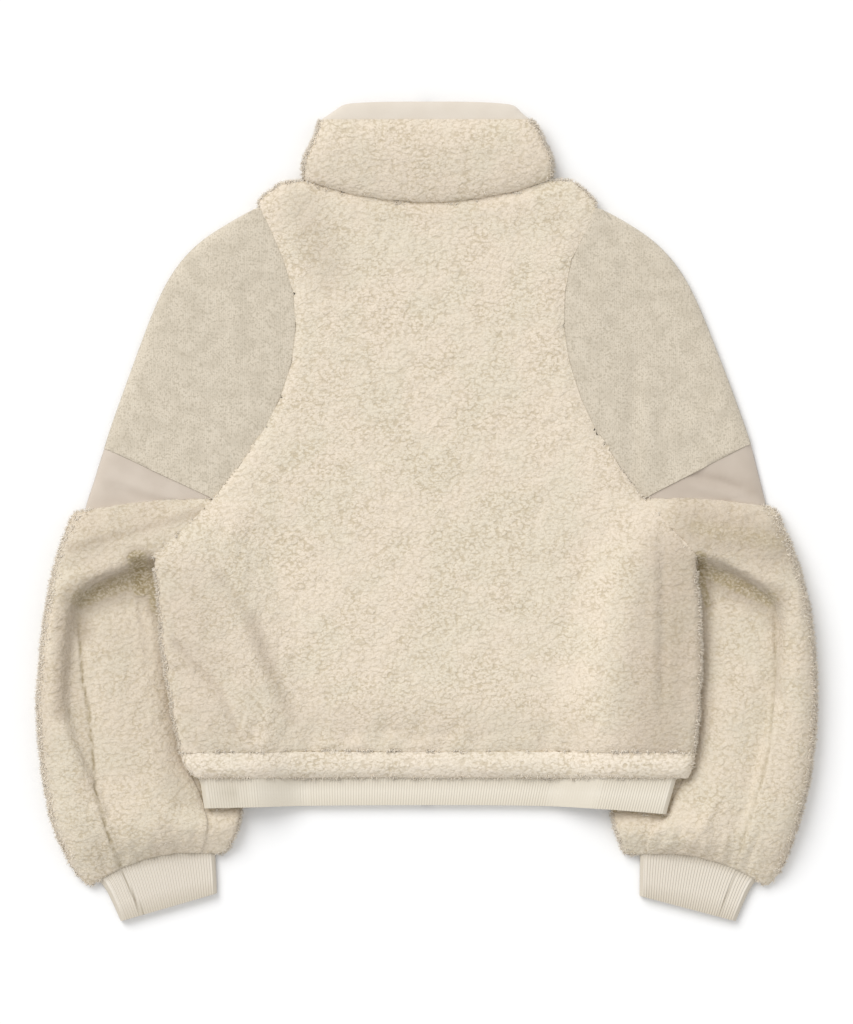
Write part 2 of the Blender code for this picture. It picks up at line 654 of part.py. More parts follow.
def build_cuff(name, side, ends, rows, material, collection):
    """The ribbed cuff: a flat tube, its ribs raised on the upper layer and running to the hand."""
    height = 2 * RIB + LAYER_GAP
    columns = 2 * CUFF_RIBS
    outer, inner = [], []
    for along in (0.0, 0.5, 1.0):
        out_end = [lerp(a, b, along) for a, b in zip(ends.outer_top, ends.outer_end)]
        in_end = [lerp(a, b, along) for a, b in zip(ends.inner_top, ends.inner_end)]
        out_end[0] += 3.0 * math.sin(math.pi * along)
        loop, slit = [], []
        for i in range(columns + 1):
            t = i / columns
            x = lerp(out_end[0], in_end[0], t)
            down = lerp(out_end[1], in_end[1], t)
            bowed = cuff_seam(rows, x)
            down = lerp(bowed, down, smooth(along)) if along < 1.0 else down
            edge = min(t, 1 - t) * columns / 4
            rib = RIB_RIDGE * (i % 2) * min(1.0, edge)
            top = height - RIB_RIDGE - 3.0 * (1 - min(1.0, edge)) ** 2
            loop.append((side * x, down, top + rib))
        for i in range(7):
            t = i / 6
            x = lerp(in_end[0], out_end[0], t)
            down = lerp(in_end[1], out_end[1], t)
            down = lerp(cuff_seam(rows, x), down, smooth(along)) if along < 1.0 else down
            loop.append((side * x, down, 2.0 if i in (0, 6) else 0.0))
        slit += [(i / columns, RIB + LAYER_GAP) for i in range(columns + 1)]
        slit += [(1 - i / 6, RIB) for i in range(7)]
        ring = []
        for t, z in slit:
            t = lerp(0.05, 0.95, t)
            x = lerp(out_end[0], in_end[0], t)
            down = lerp(out_end[1], in_end[1], t)
            down = lerp(cuff_seam(rows, x), down, smooth(along)) if along < 1.0 else down
            ring.append((side * x, down, z))
        outer.append(loop)
        inner.append(ring)
    wall(name, outer, inner, material, collection, cyclic=True)


# ---------------------------------------------------------------- collar, hem and zip


def band_stations(left, right, radius, under, over):
    """Across positions round a flat band, from the left zip edge under, over the back and under again.

    under is how far out the stations of the two lower layers are, and over the stations of the upper one.
    """
    folds = []
    for end in (left, right):
        folds.append([end - math.copysign(f, end) for f in (0.0, 0.25 * radius, radius)])
    lefts, rights = folds
    first = [-x for x in under] + [lefts[2], lefts[1]]
    second = [*lefts, *over, *rights[::-1]]
    return first, second, [rights[1], rights[2], *under[::-1]]


def band_section(left, right, heights, radius, thickness, under, over, lift=None):
    """Outer and inner points (across, height, layer) round a flat band with rounded folds.

    heights are the outer and the inner faces of the lower layer and then those of the upper layer. layer is
    0 under the fold and 1 above it.
    """
    lift = lift or (lambda across: 0.0)
    low, inner_low, inner_high, high = heights
    middle = (inner_low + inner_high) / 2
    first, second, third = band_stations(left, right, radius, under, over)
    lower = [low] * (len(first) - 1) + [lerp(low, middle, 0.35)]
    rounded = [middle, lerp(high, middle, 0.32), high - 0.5]
    outer_heights = lower + rounded + [high] * len(over) + rounded[::-1] + lower[::-1]
    inner_heights = [inner_low] * len(first) + [middle]
    inner_heights += [inner_high] * (len(second) - 2) + [middle] + [inner_low] * len(third)
    start, end = len(first), len(first) + len(second) - 1
    outer, inner = [], []
    for i, (x, h) in enumerate(zip(first + second + third, outer_heights)):
        layer = 1 if start <= i <= end else 0
        outer.append((x, h + lift(x), layer))
        from_fold = min(abs(i - start), abs(i - end))
        keep = thickness + (0.9 if from_fold > 1 else 0.5 * from_fold)
        x_in = min(max(x, left + keep), right - keep)
        inner.append((x_in, inner_heights[i] + lift(x_in), layer))
    return outer, inner


def collar_down(row, across, layer):
    """The level of a collar point: rows run from the top edge to the back or front neck seam."""
    depth = BACK_NECK_DEPTH if layer else FRONT_NECK_DEPTH
    seam = neck_seam(max(-NECK_HALF, min(NECK_HALF, across)), depth) - SEAM - 0.15
    return lerp(COLLAR_TOP_DOWN, seam, row.along)


COLLAR_UNDER = (ZIP_HALF, 36.0, 64.0, 88.0)
COLLAR_OVER = (-82.0, -64.0, -44.0, -22.0, 0.0, 22.0, 44.0, 64.0, 82.0)


def build_collar(material, collection):
    """The fleece stand collar, folded flat at its sides and open at the zip underneath."""
    outer, inner = [], []
    for row in COLLAR:
        heights = (row.low, FLEECE, row.inner_high, row.high)
        out, back = band_section(-row.left, row.right, heights, 14.0, 10.0, COLLAR_UNDER, COLLAR_OVER)
        outer.append([(x, collar_down(row, x, layer), h) for x, h, layer in out])
        inner.append([(x, collar_down(row, x, layer), h) for x, h, layer in back])
    wall("collar", outer, inner, material, collection)


def build_facing(material, collection):
    """The smooth facing: it lines the collar's top and rolls out over the edge."""
    outer, inner = [], []
    for row in FACING_ROWS:
        rolled = row.down < COLLAR_TOP_DOWN - 0.8
        radius = 10.0 if rolled else 5.0
        thickness = 7.0 if rolled else 3.0
        heights = (row.low, SLIT_LOW, SLIT_HIGH, row.high)
        reach = min(row.left, row.right) - radius
        under = (ZIP_HALF, 0.4 * reach, 0.8 * reach)
        over = [reach * t for t in (-0.8, -0.55, -0.3, -0.1, 0.1, 0.3, 0.55, 0.8)]
        out, back = band_section(-row.left, row.right, heights, radius, thickness, under, over)
        arch = FACING_ARCH * smooth((12.0 - row.down) / 12.0) if rolled else 0.0
        reach = max(row.left, row.right)
        outer.append([(x, row.down + arch * (x / reach) ** 4, h) for x, h, _ in out])
        inner.append([(x, row.down + arch * (x / reach) ** 4, h) for x, h, _ in back])
    wall("collar_facing", outer, inner, material, collection)


class HemRow(NamedTuple):
    """The fleece hem band across, out from the centre line, and how far its surface is from full height."""

    down: float
    left: float
    right: float
    drop: float


HEM_BAND = (
    HemRow(HEM_SEAM_DOWN + SEAM, 246.0, 267.5, 2.0),
    HemRow(HEM_SEAM_DOWN + 6.0, 245.0, 267.0, 0.0),
    HemRow(HEM_SEAM_DOWN + 15.0, 242.0, 265.0, -0.8),
    HemRow(HEM_DOWN - 4.0, 236.0, 263.0, 1.5),
    HemRow(HEM_DOWN, 230.0, 260.5, 6.0),
)
HEM_FOOT = 177.5
HEM_UNDER = (ZIP_HALF, 60.0, HEM_FOOT - RAMP, HEM_FOOT - 0.68 * RAMP, HEM_FOOT - 0.35 * RAMP, HEM_FOOT)
HEM_OVER = [-x for x in HEM_UNDER[:0:-1]] + [0.0, *HEM_UNDER[1:]]


def hem_lift(across):
    """How high the sleeves carry the hem."""
    return 18.5 * smooth((abs(across) - (HEM_FOOT - RAMP)) / RAMP)


def build_hem_band(material, collection):
    """The turned fleece hem below the body, folded round both sides and open at the zip."""
    outer, inner = [], []
    for row in HEM_BAND:
        high = 2 * FLEECE + LAYER_GAP - row.drop
        heights = (0.25 * max(row.drop, 0.0), FLEECE, FLEECE + LAYER_GAP, high)
        out, back = band_section(
            -row.left, row.right, heights, 12.0, 9.0, HEM_UNDER, HEM_OVER, hem_lift
        )
        outer.append([(x, row.down, h) for x, h, _ in out])
        inner.append([(x, row.down, h) for x, h, _ in back])
    wall("hem_band", outer, inner, material, collection)


class RibHemEdge(NamedTuple):
    """The ribbed hem's reach to each side, at its seam and at its lower edge."""

    left: float
    right: float


RIB_HEM = (RibHemEdge(227.0, 249.0), RibHemEdge(222.5, 239.0))


def rib_hem_end(across):
    """The lower edge of the ribbed hem, which drops a little at its right-hand end."""
    return 703.5 + 2.5 * max(0.0, -across / 222.0) ** 2 + 8.5 * max(0.0, across / 239.0) ** 3


def build_rib_hem(material, collection):
    """The ribbed hem: raised ribs on the upper layer, plain underneath, open at the zip."""
    outer, inner = [], []
    top = 2 * RIB + LAYER_GAP
    count = round(RIB_HEM[0].left / RIB_PITCH + RIB_HEM[0].right / RIB_PITCH)
    for along, (left, right) in enumerate(RIB_HEM):
        over = []
        for i in range(2 * count + 1):
            t = i / (2 * count)
            x = lerp(-left, right, t)
            edge = min(1.0, min(t, 1 - t) * count / 2)
            height = top - HEM_RIB_RIDGE * (1 - (i % 2) * edge) - 3.4 * (1 - edge) ** 2
            over.append((x, height))
        under = [(-x, 0.0) for x in (*HEM_UNDER, left - 4.0)]
        back = [(x, 0.0) for x in (right - 4.0, *HEM_UNDER[::-1])]
        line = under + over + back
        row = []
        for x, height in line:
            down = lerp(HEM_DOWN + 0.5, rib_hem_end(x), along)
            row.append((x, down, height + hem_lift(x)))
        outer.append(row)
        lower = [(-x, RIB) for x in (*HEM_UNDER, left - 6.5)]
        across = [lerp(-left + 6.0, right - 6.0, t / (2 * count)) for t in range(2 * count + 1)]
        upper = [(x, RIB + LAYER_GAP) for x in across]
        end = [(x, RIB) for x in (right - 6.5, *HEM_UNDER[::-1])]
        ring = []
        for x, height in lower + upper + end:
            down = lerp(HEM_DOWN + 0.5, rib_hem_end(x), along)
            ring.append((x, down, height + hem_lift(x)))
        inner.append(ring)
    wall("hem_rib", outer, inner, material, collection)


def box(name, size, centre, round_mm, material, collection):
    """A block with softened edges: size and centre across, down and high."""
    bm = bmesh.new()
    bmesh.ops.create_cube(bm, size=1.0)
    bmesh.ops.scale(bm, vec=Vector(size) * MM, verts=bm.verts)
    bmesh.ops.bevel(
        bm, geom=bm.edges[:], offset=round_mm * MM, segments=2, profile=0.5, affect="EDGES", material=-1
    )
    bmesh.ops.translate(bm, vec=place(centre), verts=bm.verts)
    finish_solid(bm, name, material, collection)


def build_zip(tape_material, metal, collection):
    """The closed zip down the front, in the channel between the fronts, with its slider at the top."""
    top, end = 14.0, 702.0
    size = (2 * (ZIP_HALF - SEAM), end - top, ZIP_HIGH - ZIP_LOW)
    box("zip_chain", size, (0.0, (top + end) / 2, (ZIP_LOW + ZIP_HIGH) / 2), 0.5, tape_material, collection)
    box("zip_slider", (8.0, 13.0, 1.6), (0.0, 30.0, 1.25), 0.4, metal, collection)


def main():
    for old in list(bpy.data.objects):
        bpy.data.objects.remove(old)
    collection = bpy.data.collections.new("fleece_bomber_jacket")
    bpy.context.scene.collection.children.link(collection)

    fleece = fabric("fleece", (0.76, 0.69, 0.56), 0.95)
    knit = fabric("heather_knit", (0.68, 0.63, 0.52), 0.95)
    woven = fabric("smooth_cloth", (0.74, 0.65, 0.56), 0.75)
    rib = fabric("rib_knit", (0.78, 0.72, 0.60), 0.9)
    tape = fabric("zip_tape", (0.70, 0.63, 0.52), 0.8)
    metal = fabric("zip_metal", (0.62, 0.60, 0.56), 0.35, 1.0)

    build_back(fleece, collection)
    build_front("front_left", LEFT, fleece, collection)
    build_front("front_right", RIGHT, fleece, collection)
    for side, word, rows, cuff in (
        (LEFT, "left", LEFT_SLEEVE, LEFT_CUFF),
        (RIGHT, "right", RIGHT_SLEEVE, RIGHT_CUFF),
    ):
        build_shoulder(f"shoulder_{word}", side, knit, collection)
        build_elbow(f"elbow_{word}", side, rows, woven, collection)
        build_sleeve(f"sleeve_{word}", side, rows, fleece, collection)
        build_cuff(f"cuff_{word}", side, cuff, rows, rib, collection)
    build_collar(fleece, collection)
    build_facing(woven, collection)
    build_hem_band(fleece, collection)
    build_rib_hem(rib, collection)
    build_zip(tape, metal, collection)


main()
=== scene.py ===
"""A reversible fleece bomber jacket, laid flat on its front with its back up, in cream curly fleece.

Tables are in millimetres as on a maker's drawing: across is from the centre line to the right of the back,
and down is from the collar's top edge towards the hem.
"""

import logging
import math
import random
from dataclasses import dataclass, field
from enum import Enum
from typing import Iterable, NamedTuple, Sequence

import bmesh
import bpy
import numpy as np
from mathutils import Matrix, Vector, noise
from mathutils.bvhtree import BVHTree
from mathutils.geometry import intersect_point_line
from mathutils.kdtree import KDTree


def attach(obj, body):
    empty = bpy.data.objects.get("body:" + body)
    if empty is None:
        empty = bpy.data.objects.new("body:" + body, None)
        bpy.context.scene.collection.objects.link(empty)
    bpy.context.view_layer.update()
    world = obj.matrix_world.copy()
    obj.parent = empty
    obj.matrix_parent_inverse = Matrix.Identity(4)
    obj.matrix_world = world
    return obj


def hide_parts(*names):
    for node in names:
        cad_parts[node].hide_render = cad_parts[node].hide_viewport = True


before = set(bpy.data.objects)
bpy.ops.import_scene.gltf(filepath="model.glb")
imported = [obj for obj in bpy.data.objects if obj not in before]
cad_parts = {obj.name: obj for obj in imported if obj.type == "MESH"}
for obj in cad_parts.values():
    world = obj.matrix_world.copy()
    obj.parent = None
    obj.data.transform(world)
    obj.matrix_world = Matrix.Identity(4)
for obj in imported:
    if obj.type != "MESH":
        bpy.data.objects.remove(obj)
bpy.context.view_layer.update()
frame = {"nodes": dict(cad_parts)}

MM = 0.001
LENGTH = 820.0  # from the collar's top edge to the lower cuff
SEAM_REACH = 2.6  # two rims this close are sewn to each other
RIM = math.radians(48)  # a solid's edge that bends more than this is a rim
UP = Vector((0.0, 0.0, 1.0))
DOWN = Vector((0.0, 0.0, -1.0))
LOG = logging.getLogger("jacket")

Color = tuple[float, float, float, float]
Place = tuple[float, float]
Socket = bpy.types.NodeSocket


class Side(Enum):
    """Which side of the laid-out back a piece is on."""

    LEFT = "left"
    RIGHT = "right"


class Fold(NamedTuple):
    """A soft ridge in the top layer, or a trough where height is below 0, fading at its ends."""

    start: Place
    end: Place
    width: float
    height: float


class SeamPoint(NamedTuple):
    """A point of a seam's line."""

    across: float
    down: float


class Seam(NamedTuple):
    """A sewn line that pulls the cloth in: its points, how wide and deep it pulls, and how dark it reads."""

    points: tuple[SeamPoint, ...]
    width: float
    depth: float
    shade: float


class Shade(NamedTuple):
    """A place where the pile lies deep out of the light: a line in plan, its reach and how dark it reads."""

    start: Place
    end: Place
    reach: float
    depth: float


def seam(*points: Place, width: float = 3.0, depth: float = 1.2, shade: float = 0.6) -> Seam:
    """A seam through points given as across and down.

    Args:
        points: The points, across and down, in millimetres.
        width: Half the width of the hollow.
        depth: The depth of the hollow.
        shade: How much it darkens the cloth, from 0 to 1.

    Returns:
        The seam.
    """
    return Seam(tuple(SeamPoint(*point) for point in points), width, depth, shade)


def plan(across: float, down: float) -> Vector:
    """The point of the plan at this distance across and down, in metres."""
    return Vector((across, LENGTH / 2 - down)) * MM


def smooth_step(values: np.ndarray) -> np.ndarray:
    """Eases values between 0 and 1."""
    clipped = np.clip(values, 0.0, 1.0)
    return clipped * clipped * (3.0 - 2.0 * clipped)


def line_reach(points: np.ndarray, start: Vector, end: Vector) -> tuple[np.ndarray, np.ndarray]:
    """Where points lie along and beside a line in plan.

    Args:
        points: The points, one row each, of which x and y are read.
        start: The line's start.
        end: The line's end.

    Returns:
        The place along the line, 0 at its start and 1 at its end, and the distance from it in metres.
    """
    along = np.array(end - start)
    off = points[:, :2] - np.array(start)
    t = off @ along / float(along @ along)
    nearest = np.clip(t, 0.0, 1.0)[:, None] * along
    return t, np.linalg.norm(off - nearest, axis=1)


def fold_lift(points: np.ndarray, folds: Sequence[Fold]) -> np.ndarray:
    """How far the folds lift each point.

    Args:
        points: The points, one row each, in metres.
        folds: The folds.

    Returns:
        The lifts in metres.
    """
    lift = np.zeros(len(points))
    for fold in folds:
        start, end = plan(*fold.start), plan(*fold.end)
        t, _ = line_reach(points, start, end)
        off = points[:, :2] - np.array(start) - t[:, None] * np.array(end - start)
        aside = np.clip(np.linalg.norm(off, axis=1) / (fold.width * MM), 0.0, 1.0)
        fade = smooth_step((t + 0.2) / 0.4) * smooth_step((1.2 - t) / 0.4)
        lift += fold.height * MM * fade * (0.5 + 0.5 * np.cos(np.pi * aside))
    return lift


def seam_pull(points: np.ndarray, seams: Sequence[Seam]) -> tuple[np.ndarray, np.ndarray]:
    """How far the seams pull each point in, and how much they darken it.

    Args:
        points: The points, one row each, in metres.
        seams: The seams.

    Returns:
        The pulls in metres, and the shades from 0 to 1.
    """
    pull, shade = np.zeros(len(points)), np.zeros(len(points))
    for line in seams:
        nearest = np.full(len(points), np.inf)
        for start, end in zip(line.points, line.points[1:]):
            nearest = np.minimum(nearest, line_reach(points, plan(*start), plan(*end))[1])
        share = 1.0 - smooth_step(nearest / (line.width * MM))
        pull = np.maximum(pull, share * line.depth * MM)
        shade = np.maximum(shade, share * line.shade)
    return pull, shade


# ---------------------------------------------------------------- finishes


@dataclass
class Bench:
    """A material's node tree, with short calls that add and join nodes.

    Where a call takes an object, that is a number, a colour or another node's output.
    """

    name: str
    material: bpy.types.Material = field(init=False)

    def __post_init__(self) -> None:
        """Makes the material with its shader."""
        self.material = bpy.data.materials.new(self.name)
        self.material.use_nodes = True
        self.tree = self.material.node_tree
        self.shader = self.tree.nodes["Principled BSDF"]
        self.object_point = self.add("ShaderNodeTexCoord").outputs["Object"]

    def add(self, kind: str, **settings: object) -> bpy.types.Node:
        """Adds a node.

        Args:
            kind: The node's type.
            settings: Its properties by name.

        Returns:
            The node.
        """
        node = self.tree.nodes.new(kind)
        for name, value in settings.items():
            setattr(node, name, value)
        return node

    def join(self, source: object, target: Socket) -> None:
        """Joins an output to an input, or sets the input to a value.

        Args:
            source: The output or the value.
            target: The input.
        """
        if isinstance(source, Socket):
            self.tree.links.new(source, target)
        else:
            target.default_value = source

    def math(self, operation: str, first: object, second: object = 0.0, clamp: bool = False) -> Socket:
        """Works out one value from two.

        Args:
            operation: The Math node's operation.
            first: The first value.
            second: The second value.
            clamp: Whether the result is kept from 0 to 1.

        Returns:
            The result.
        """
        node = self.add("ShaderNodeMath", operation=operation, use_clamp=clamp)
        self.join(first, node.inputs[0])
        self.join(second, node.inputs[1])
        return node.outputs[0]

    def times(self, first: object, second: object) -> Socket:
        """The product of two values."""
        return self.math("MULTIPLY", first, second)

    def plus(self, first: object, second: object) -> Socket:
        """The sum of two values."""
        return self.math("ADD", first, second)

    def less(self, first: object, second: object) -> Socket:
        """The first value less the second."""
        return self.math("SUBTRACT", first, second)

    def spread(
        self, value: object, low: float, high: float, to_low: float = 0.0, to_high: float = 1.0
    ) -> Socket:
        """Maps a value smoothly from one range to another.

        Args:
            value: The value.
            low: Where its range starts.
            high: Where its range ends.
            to_low: The result at low and below.
            to_high: The result at high and above.

        Returns:
            The result.
        """
        node = self.add("ShaderNodeMapRange", interpolation_type="SMOOTHSTEP")
        for socket, given in zip(node.inputs, (value, low, high, to_low, to_high)):
            self.join(given, socket)
        return node.outputs[0]

    def noise(self, size_mm: float, detail: float = 2.0, vector: Socket | None = None) -> Socket:
        """A noise.

        Args:
            size_mm: About the size of its lumps.
            detail: How many finer layers it has.
            vector: The point that it is read at, or None for the object's own.

        Returns:
            Its value, from 0 to 1.
        """
        node = self.add("ShaderNodeTexNoise")
        self.join(vector or self.object_point, node.inputs["Vector"])
        node.inputs["Scale"].default_value = 1.0 / (size_mm * MM)
        node.inputs["Detail"].default_value = detail
        return node.outputs["Fac"]

    def cells(self, size_mm: float, vector: Socket) -> Socket:
        """Cells, as of packed beads.

        Args:
            size_mm: About the size of a cell.
            vector: The point that they are read at.

        Returns:
            The distance from the nearest cell's middle, in cells.
        """
        node = self.add("ShaderNodeTexVoronoi")
        self.join(vector, node.inputs["Vector"])
        node.inputs["Scale"].default_value = 1.0 / (size_mm * MM)
        return node.outputs["Distance"]

    def stripes(self, period_mm: float, direction: str, distortion: float) -> Socket:
        """Soft stripes.

        Args:
            period_mm: The distance from one stripe to the next.
            direction: The axis that they lie across.
            distortion: How much they waver.

        Returns:
            Their value, from 0 to 1.
        """
        node = self.add("ShaderNodeTexWave", wave_type="BANDS", bands_direction=direction)
        self.join(self.object_point, node.inputs["Vector"])
        node.inputs["Scale"].default_value = math.tau / (20.0 * period_mm * MM)
        node.inputs["Distortion"].default_value = distortion
        node.inputs["Detail"].default_value = 1.0
        return node.outputs["Fac"]

    def swirl(self, size_mm: float, reach_mm: float) -> Socket:
        """The object's point, moved about by a noise.

        Args:
            size_mm: About the size of the noise's lumps.
            reach_mm: How far apart it moves points.

        Returns:
            The moved point.
        """
        centred = self.add("ShaderNodeVectorMath", operation="SUBTRACT")
        self.join(self.noise(size_mm, 1.0).node.outputs["Color"], centred.inputs[0])
        centred.inputs[1].default_value = (0.5, 0.5, 0.5)
        scaled = self.add("ShaderNodeVectorMath", operation="SCALE")
        self.join(centred.outputs[0], scaled.inputs[0])
        scaled.inputs["Scale"].default_value = reach_mm * MM
        moved = self.add("ShaderNodeVectorMath", operation="ADD")
        self.join(self.object_point, moved.inputs[0])
        self.join(scaled.outputs[0], moved.inputs[1])
        return moved.outputs[0]

    def stretched(self, vector: Socket, scale: tuple[float, float, float]) -> Socket:
        """Scales a vector along each axis.

        Args:
            vector: The vector.
            scale: The scale along each axis.

        Returns:
            The scaled vector.
        """
        node = self.add("ShaderNodeVectorMath", operation="MULTIPLY")
        self.join(vector, node.inputs[0])
        node.inputs[1].default_value = scale
        return node.outputs[0]

    def blend(self, share: object, first: object, second: object) -> Socket:
        """Mixes two colours.

        Args:
            share: The second colour's share.
            first: The first colour.
            second: The second colour.

        Returns:
            The mixed colour.
        """
        node = self.add("ShaderNodeMix", data_type="RGBA")
        self.join(share, node.inputs["Factor"])
        self.join(first, node.inputs[6])
        self.join(second, node.inputs[7])
        return node.outputs[2]

    def painted(self, name: str) -> Socket:
        """A value that the mesh carries at its points."""
        return self.add("ShaderNodeAttribute", attribute_name=name).outputs["Fac"]

    def bump(self, height: Socket, depth_mm: float, strength: float, below: Socket | None = None) -> Socket:
        """Bumps the surface.

        Args:
            height: The height, from 0 to 1.
            depth_mm: How far it rises.
            strength: How strongly it shows.
            below: The normal that it is added to, or None for the mesh's own.

        Returns:
            The bumped normal.
        """
        node = self.add("ShaderNodeBump")
        node.inputs["Strength"].default_value = strength
        node.inputs["Distance"].default_value = depth_mm * MM
        self.join(height, node.inputs["Height"])
        if below is not None:
            self.join(below, node.inputs["Normal"])
        return node.outputs["Normal"]

    def finish(
        self, color: object, normal: Socket | None, roughness: float, sheen: float
    ) -> bpy.types.Material:
        """Joins the colour and normal and sets the shader's even values.

        Args:
            color: The colour.
            normal: The normal, or None for the mesh's own.
            roughness: The shader's roughness.
            sheen: The weight of its sheen.

        Returns:
            The material.
        """
        self.join(color, self.shader.inputs["Base Color"])
        if normal is not None:
            self.join(normal, self.shader.inputs["Normal"])
        self.shader.inputs["Roughness"].default_value = roughness
        self.shader.inputs["Specular IOR Level"].default_value = 0.15
        self.shader.inputs["Sheen Weight"].default_value = sheen
        self.shader.inputs["Sheen Roughness"].default_value = 0.6
        return self.material


@dataclass(frozen=True)
class FleeceFinish:
    """Curly pile: pale wool with painted shade in the fine winding gaps between its curls, and browner
    painted shade where it lies out of the light.
    """

    tip: Color = (0.80, 0.70, 0.575, 1.0)
    cool: Color = (0.765, 0.688, 0.56, 1.0)
    # The painted shade down in the gaps between the curls, also lent to the fibres' fine darker specks
    gap: Color = (0.50, 0.41, 0.27, 1.0)
    # The painted shade where the pile lies out of the light, from half shade to deep; the deep brown also
    # draws a seam's dark line
    painted_half_shade: Color = (0.37, 0.295, 0.22, 1.0)
    deep: Color = (0.285, 0.22, 0.105, 1.0)
    curl_mm: float = 2.75

    def material(self, name: str) -> bpy.types.Material:
        """Makes the material.

        Args:
            name: Its name.

        Returns:
            The material.
        """
        bench = Bench(name)
        rows = bench.stretched(bench.swirl(5.0, 4.0), (0.74, 1.0, 1.0))
        beads = bench.cells(self.curl_mm, rows)
        lumps = bench.noise(self.curl_mm * 1.1, 2.0, rows)
        winding = bench.math("ABSOLUTE", bench.less(bench.noise(self.curl_mm * 1.4, 1.0, rows), 0.5))
        fibres = bench.noise(1.1)
        # How much painted shade the mesh carries, and where it is deep
        painted_shade = bench.painted("painted_shade")
        within = bench.spread(painted_shade, 0.48, 0.66)
        # Painted shade in the gaps between the curls, stronger in some patches and where the pile lies out of
        # the light
        patches = bench.spread(bench.noise(30.0), 0.35, 0.66, 0.45, 0.85)
        strong = bench.math("ADD", patches, bench.times(within, 0.5), clamp=True)
        between = bench.spread(beads, 0.42, 0.8, 0.0, 0.75)
        lines = bench.spread(winding, 0.0, 0.05, 0.45, 0.0)
        specks = bench.spread(lumps, 0.30, 0.44, 0.9, 0.0)
        deepest = bench.math("MAXIMUM", between, bench.math("MAXIMUM", lines, specks))
        gaps = bench.times(deepest, strong)
        domes = bench.less(1.0, bench.times(beads, beads))
        height = bench.plus(bench.times(domes, 0.55), bench.times(lumps, 0.7))
        height = bench.plus(height, bench.times(fibres, 0.25))
        shades = bench.spread(bench.noise(42.0, 1.0), 0.35, 0.68)
        color = bench.blend(shades, self.tip, self.cool)
        color = bench.blend(bench.spread(fibres, 0.35, 0.7, 0.0, 0.16), color, self.gap)
        color = bench.blend(gaps, color, self.gap)
        # A seam's dark line is broken by the curls that lie over it
        broken = bench.spread(bench.noise(7.0, 1.0), 0.38, 0.6, 0.25, 1.0)
        color = bench.blend(bench.times(bench.painted("seam"), broken), color, self.deep)
        # Painted shade, brown, where the pile lies out of the light; the ends of its curls stay paler in it
        ends = bench.spread(bench.noise(2.3, 2.0, rows), 0.42, 0.6)
        tips = bench.times(ends, bench.plus(bench.times(within, 0.48), 0.1))
        hidden = bench.times(painted_shade, bench.less(1.0, tips))
        color = bench.blend(hidden, color, bench.blend(within, self.painted_half_shade, self.deep))
        return bench.finish(color, bench.bump(height, 2.0, 0.6), 0.95, 0.25)


@dataclass(frozen=True)
class WoolFinish:
    """The pale wool of single curls."""

    face: Color = (0.86, 0.775, 0.655, 1.0)
    dim: Color = (0.80, 0.715, 0.59, 1.0)

    def material(self, name: str) -> bpy.types.Material:
        """Makes the material.

        Args:
            name: Its name.

        Returns:
            The material.
        """
        bench = Bench(name)
        color = bench.blend(bench.noise(5.0, 1.0), self.face, self.dim)
        return bench.finish(color, None, 0.95, 0.5)


@dataclass(frozen=True)
class KnitFinish:
    """Heathered jersey: fine wales, flecked in cream and grey."""

    pale: Color = (0.695, 0.617, 0.50, 1.0)
    # The grey of the flecks, which also darkens the clouds, the gaps between the loops and the seams, and
    # paints the shade where the cloth lies out of the light
    fleck_and_shade: Color = (0.42, 0.365, 0.275, 1.0)
    light: Color = (0.74, 0.675, 0.565, 1.0)
    wale_mm: float = 1.9
    course_mm: float = 1.5

    def material(self, name: str) -> bpy.types.Material:
        """Makes the material.

        Args:
            name: Its name.

        Returns:
            The material.
        """
        bench = Bench(name)
        wales = bench.stripes(self.wale_mm, "X", 1.5)
        courses = bench.stripes(self.course_mm, "Y", 2.0)
        loops = bench.times(wales, bench.spread(courses, 0.0, 1.0, 0.55, 1.0))
        flecks = bench.spread(bench.noise(1.9, 3.0), 0.44, 0.68, 0.0, 0.72)
        lights = bench.spread(bench.noise(2.6, 3.0, bench.swirl(9.0, 6.0)), 0.48, 0.72, 0.0, 0.55)
        clouds = bench.spread(bench.noise(16.0), 0.35, 0.7, 0.0, 0.3)
        color = bench.blend(flecks, self.pale, self.fleck_and_shade)
        color = bench.blend(lights, color, self.light)
        color = bench.blend(clouds, color, self.fleck_and_shade)
        color = bench.blend(bench.times(bench.less(1.0, loops), 0.24), color, self.fleck_and_shade)
        color = bench.blend(bench.times(bench.painted("seam"), 0.6), color, self.fleck_and_shade)
        # Painted shade where the cloth lies out of the light
        color = bench.blend(bench.painted("painted_shade"), color, self.fleck_and_shade)
        height = bench.plus(bench.times(loops, 0.5), bench.times(bench.noise(1.0), 0.7))
        return bench.finish(color, bench.bump(height, 0.6, 0.45), 0.92, 0.3)


@dataclass(frozen=True)
class WovenFinish:
    """Smooth lining cloth with a close weave and a low sheen."""

    face: Color = (0.605, 0.528, 0.448, 1.0)
    shade: Color = (0.50, 0.425, 0.35, 1.0)
    # The painted shade where the cloth lies out of the light
    deep: Color = (0.36, 0.285, 0.22, 1.0)
    warp_mm: float = 0.8
    weft_mm: float = 0.7

    def material(self, name: str) -> bpy.types.Material:
        """Makes the material.

        Args:
            name: Its name.

        Returns:
            The material.
        """
        bench = Bench(name)
        weave = bench.times(bench.stripes(self.warp_mm, "X", 0.4), bench.stripes(self.weft_mm, "Y", 0.4))
        clouds = bench.spread(bench.noise(22.0), 0.3, 0.7, 0.0, 0.35)
        color = bench.blend(clouds, self.face, self.shade)
        color = bench.blend(bench.times(weave, 0.08), color, self.shade)
        color = bench.blend(bench.times(bench.painted("seam"), 0.8), color, self.shade)
        # Painted shade where the cloth lies out of the light
        color = bench.blend(bench.painted("painted_shade"), color, self.deep)
        ripple = bench.bump(bench.noise(26.0, 1.0), 2.5, 0.35)
        return bench.finish(color, bench.bump(weave, 0.15, 0.35, ripple), 0.6, 0.2)


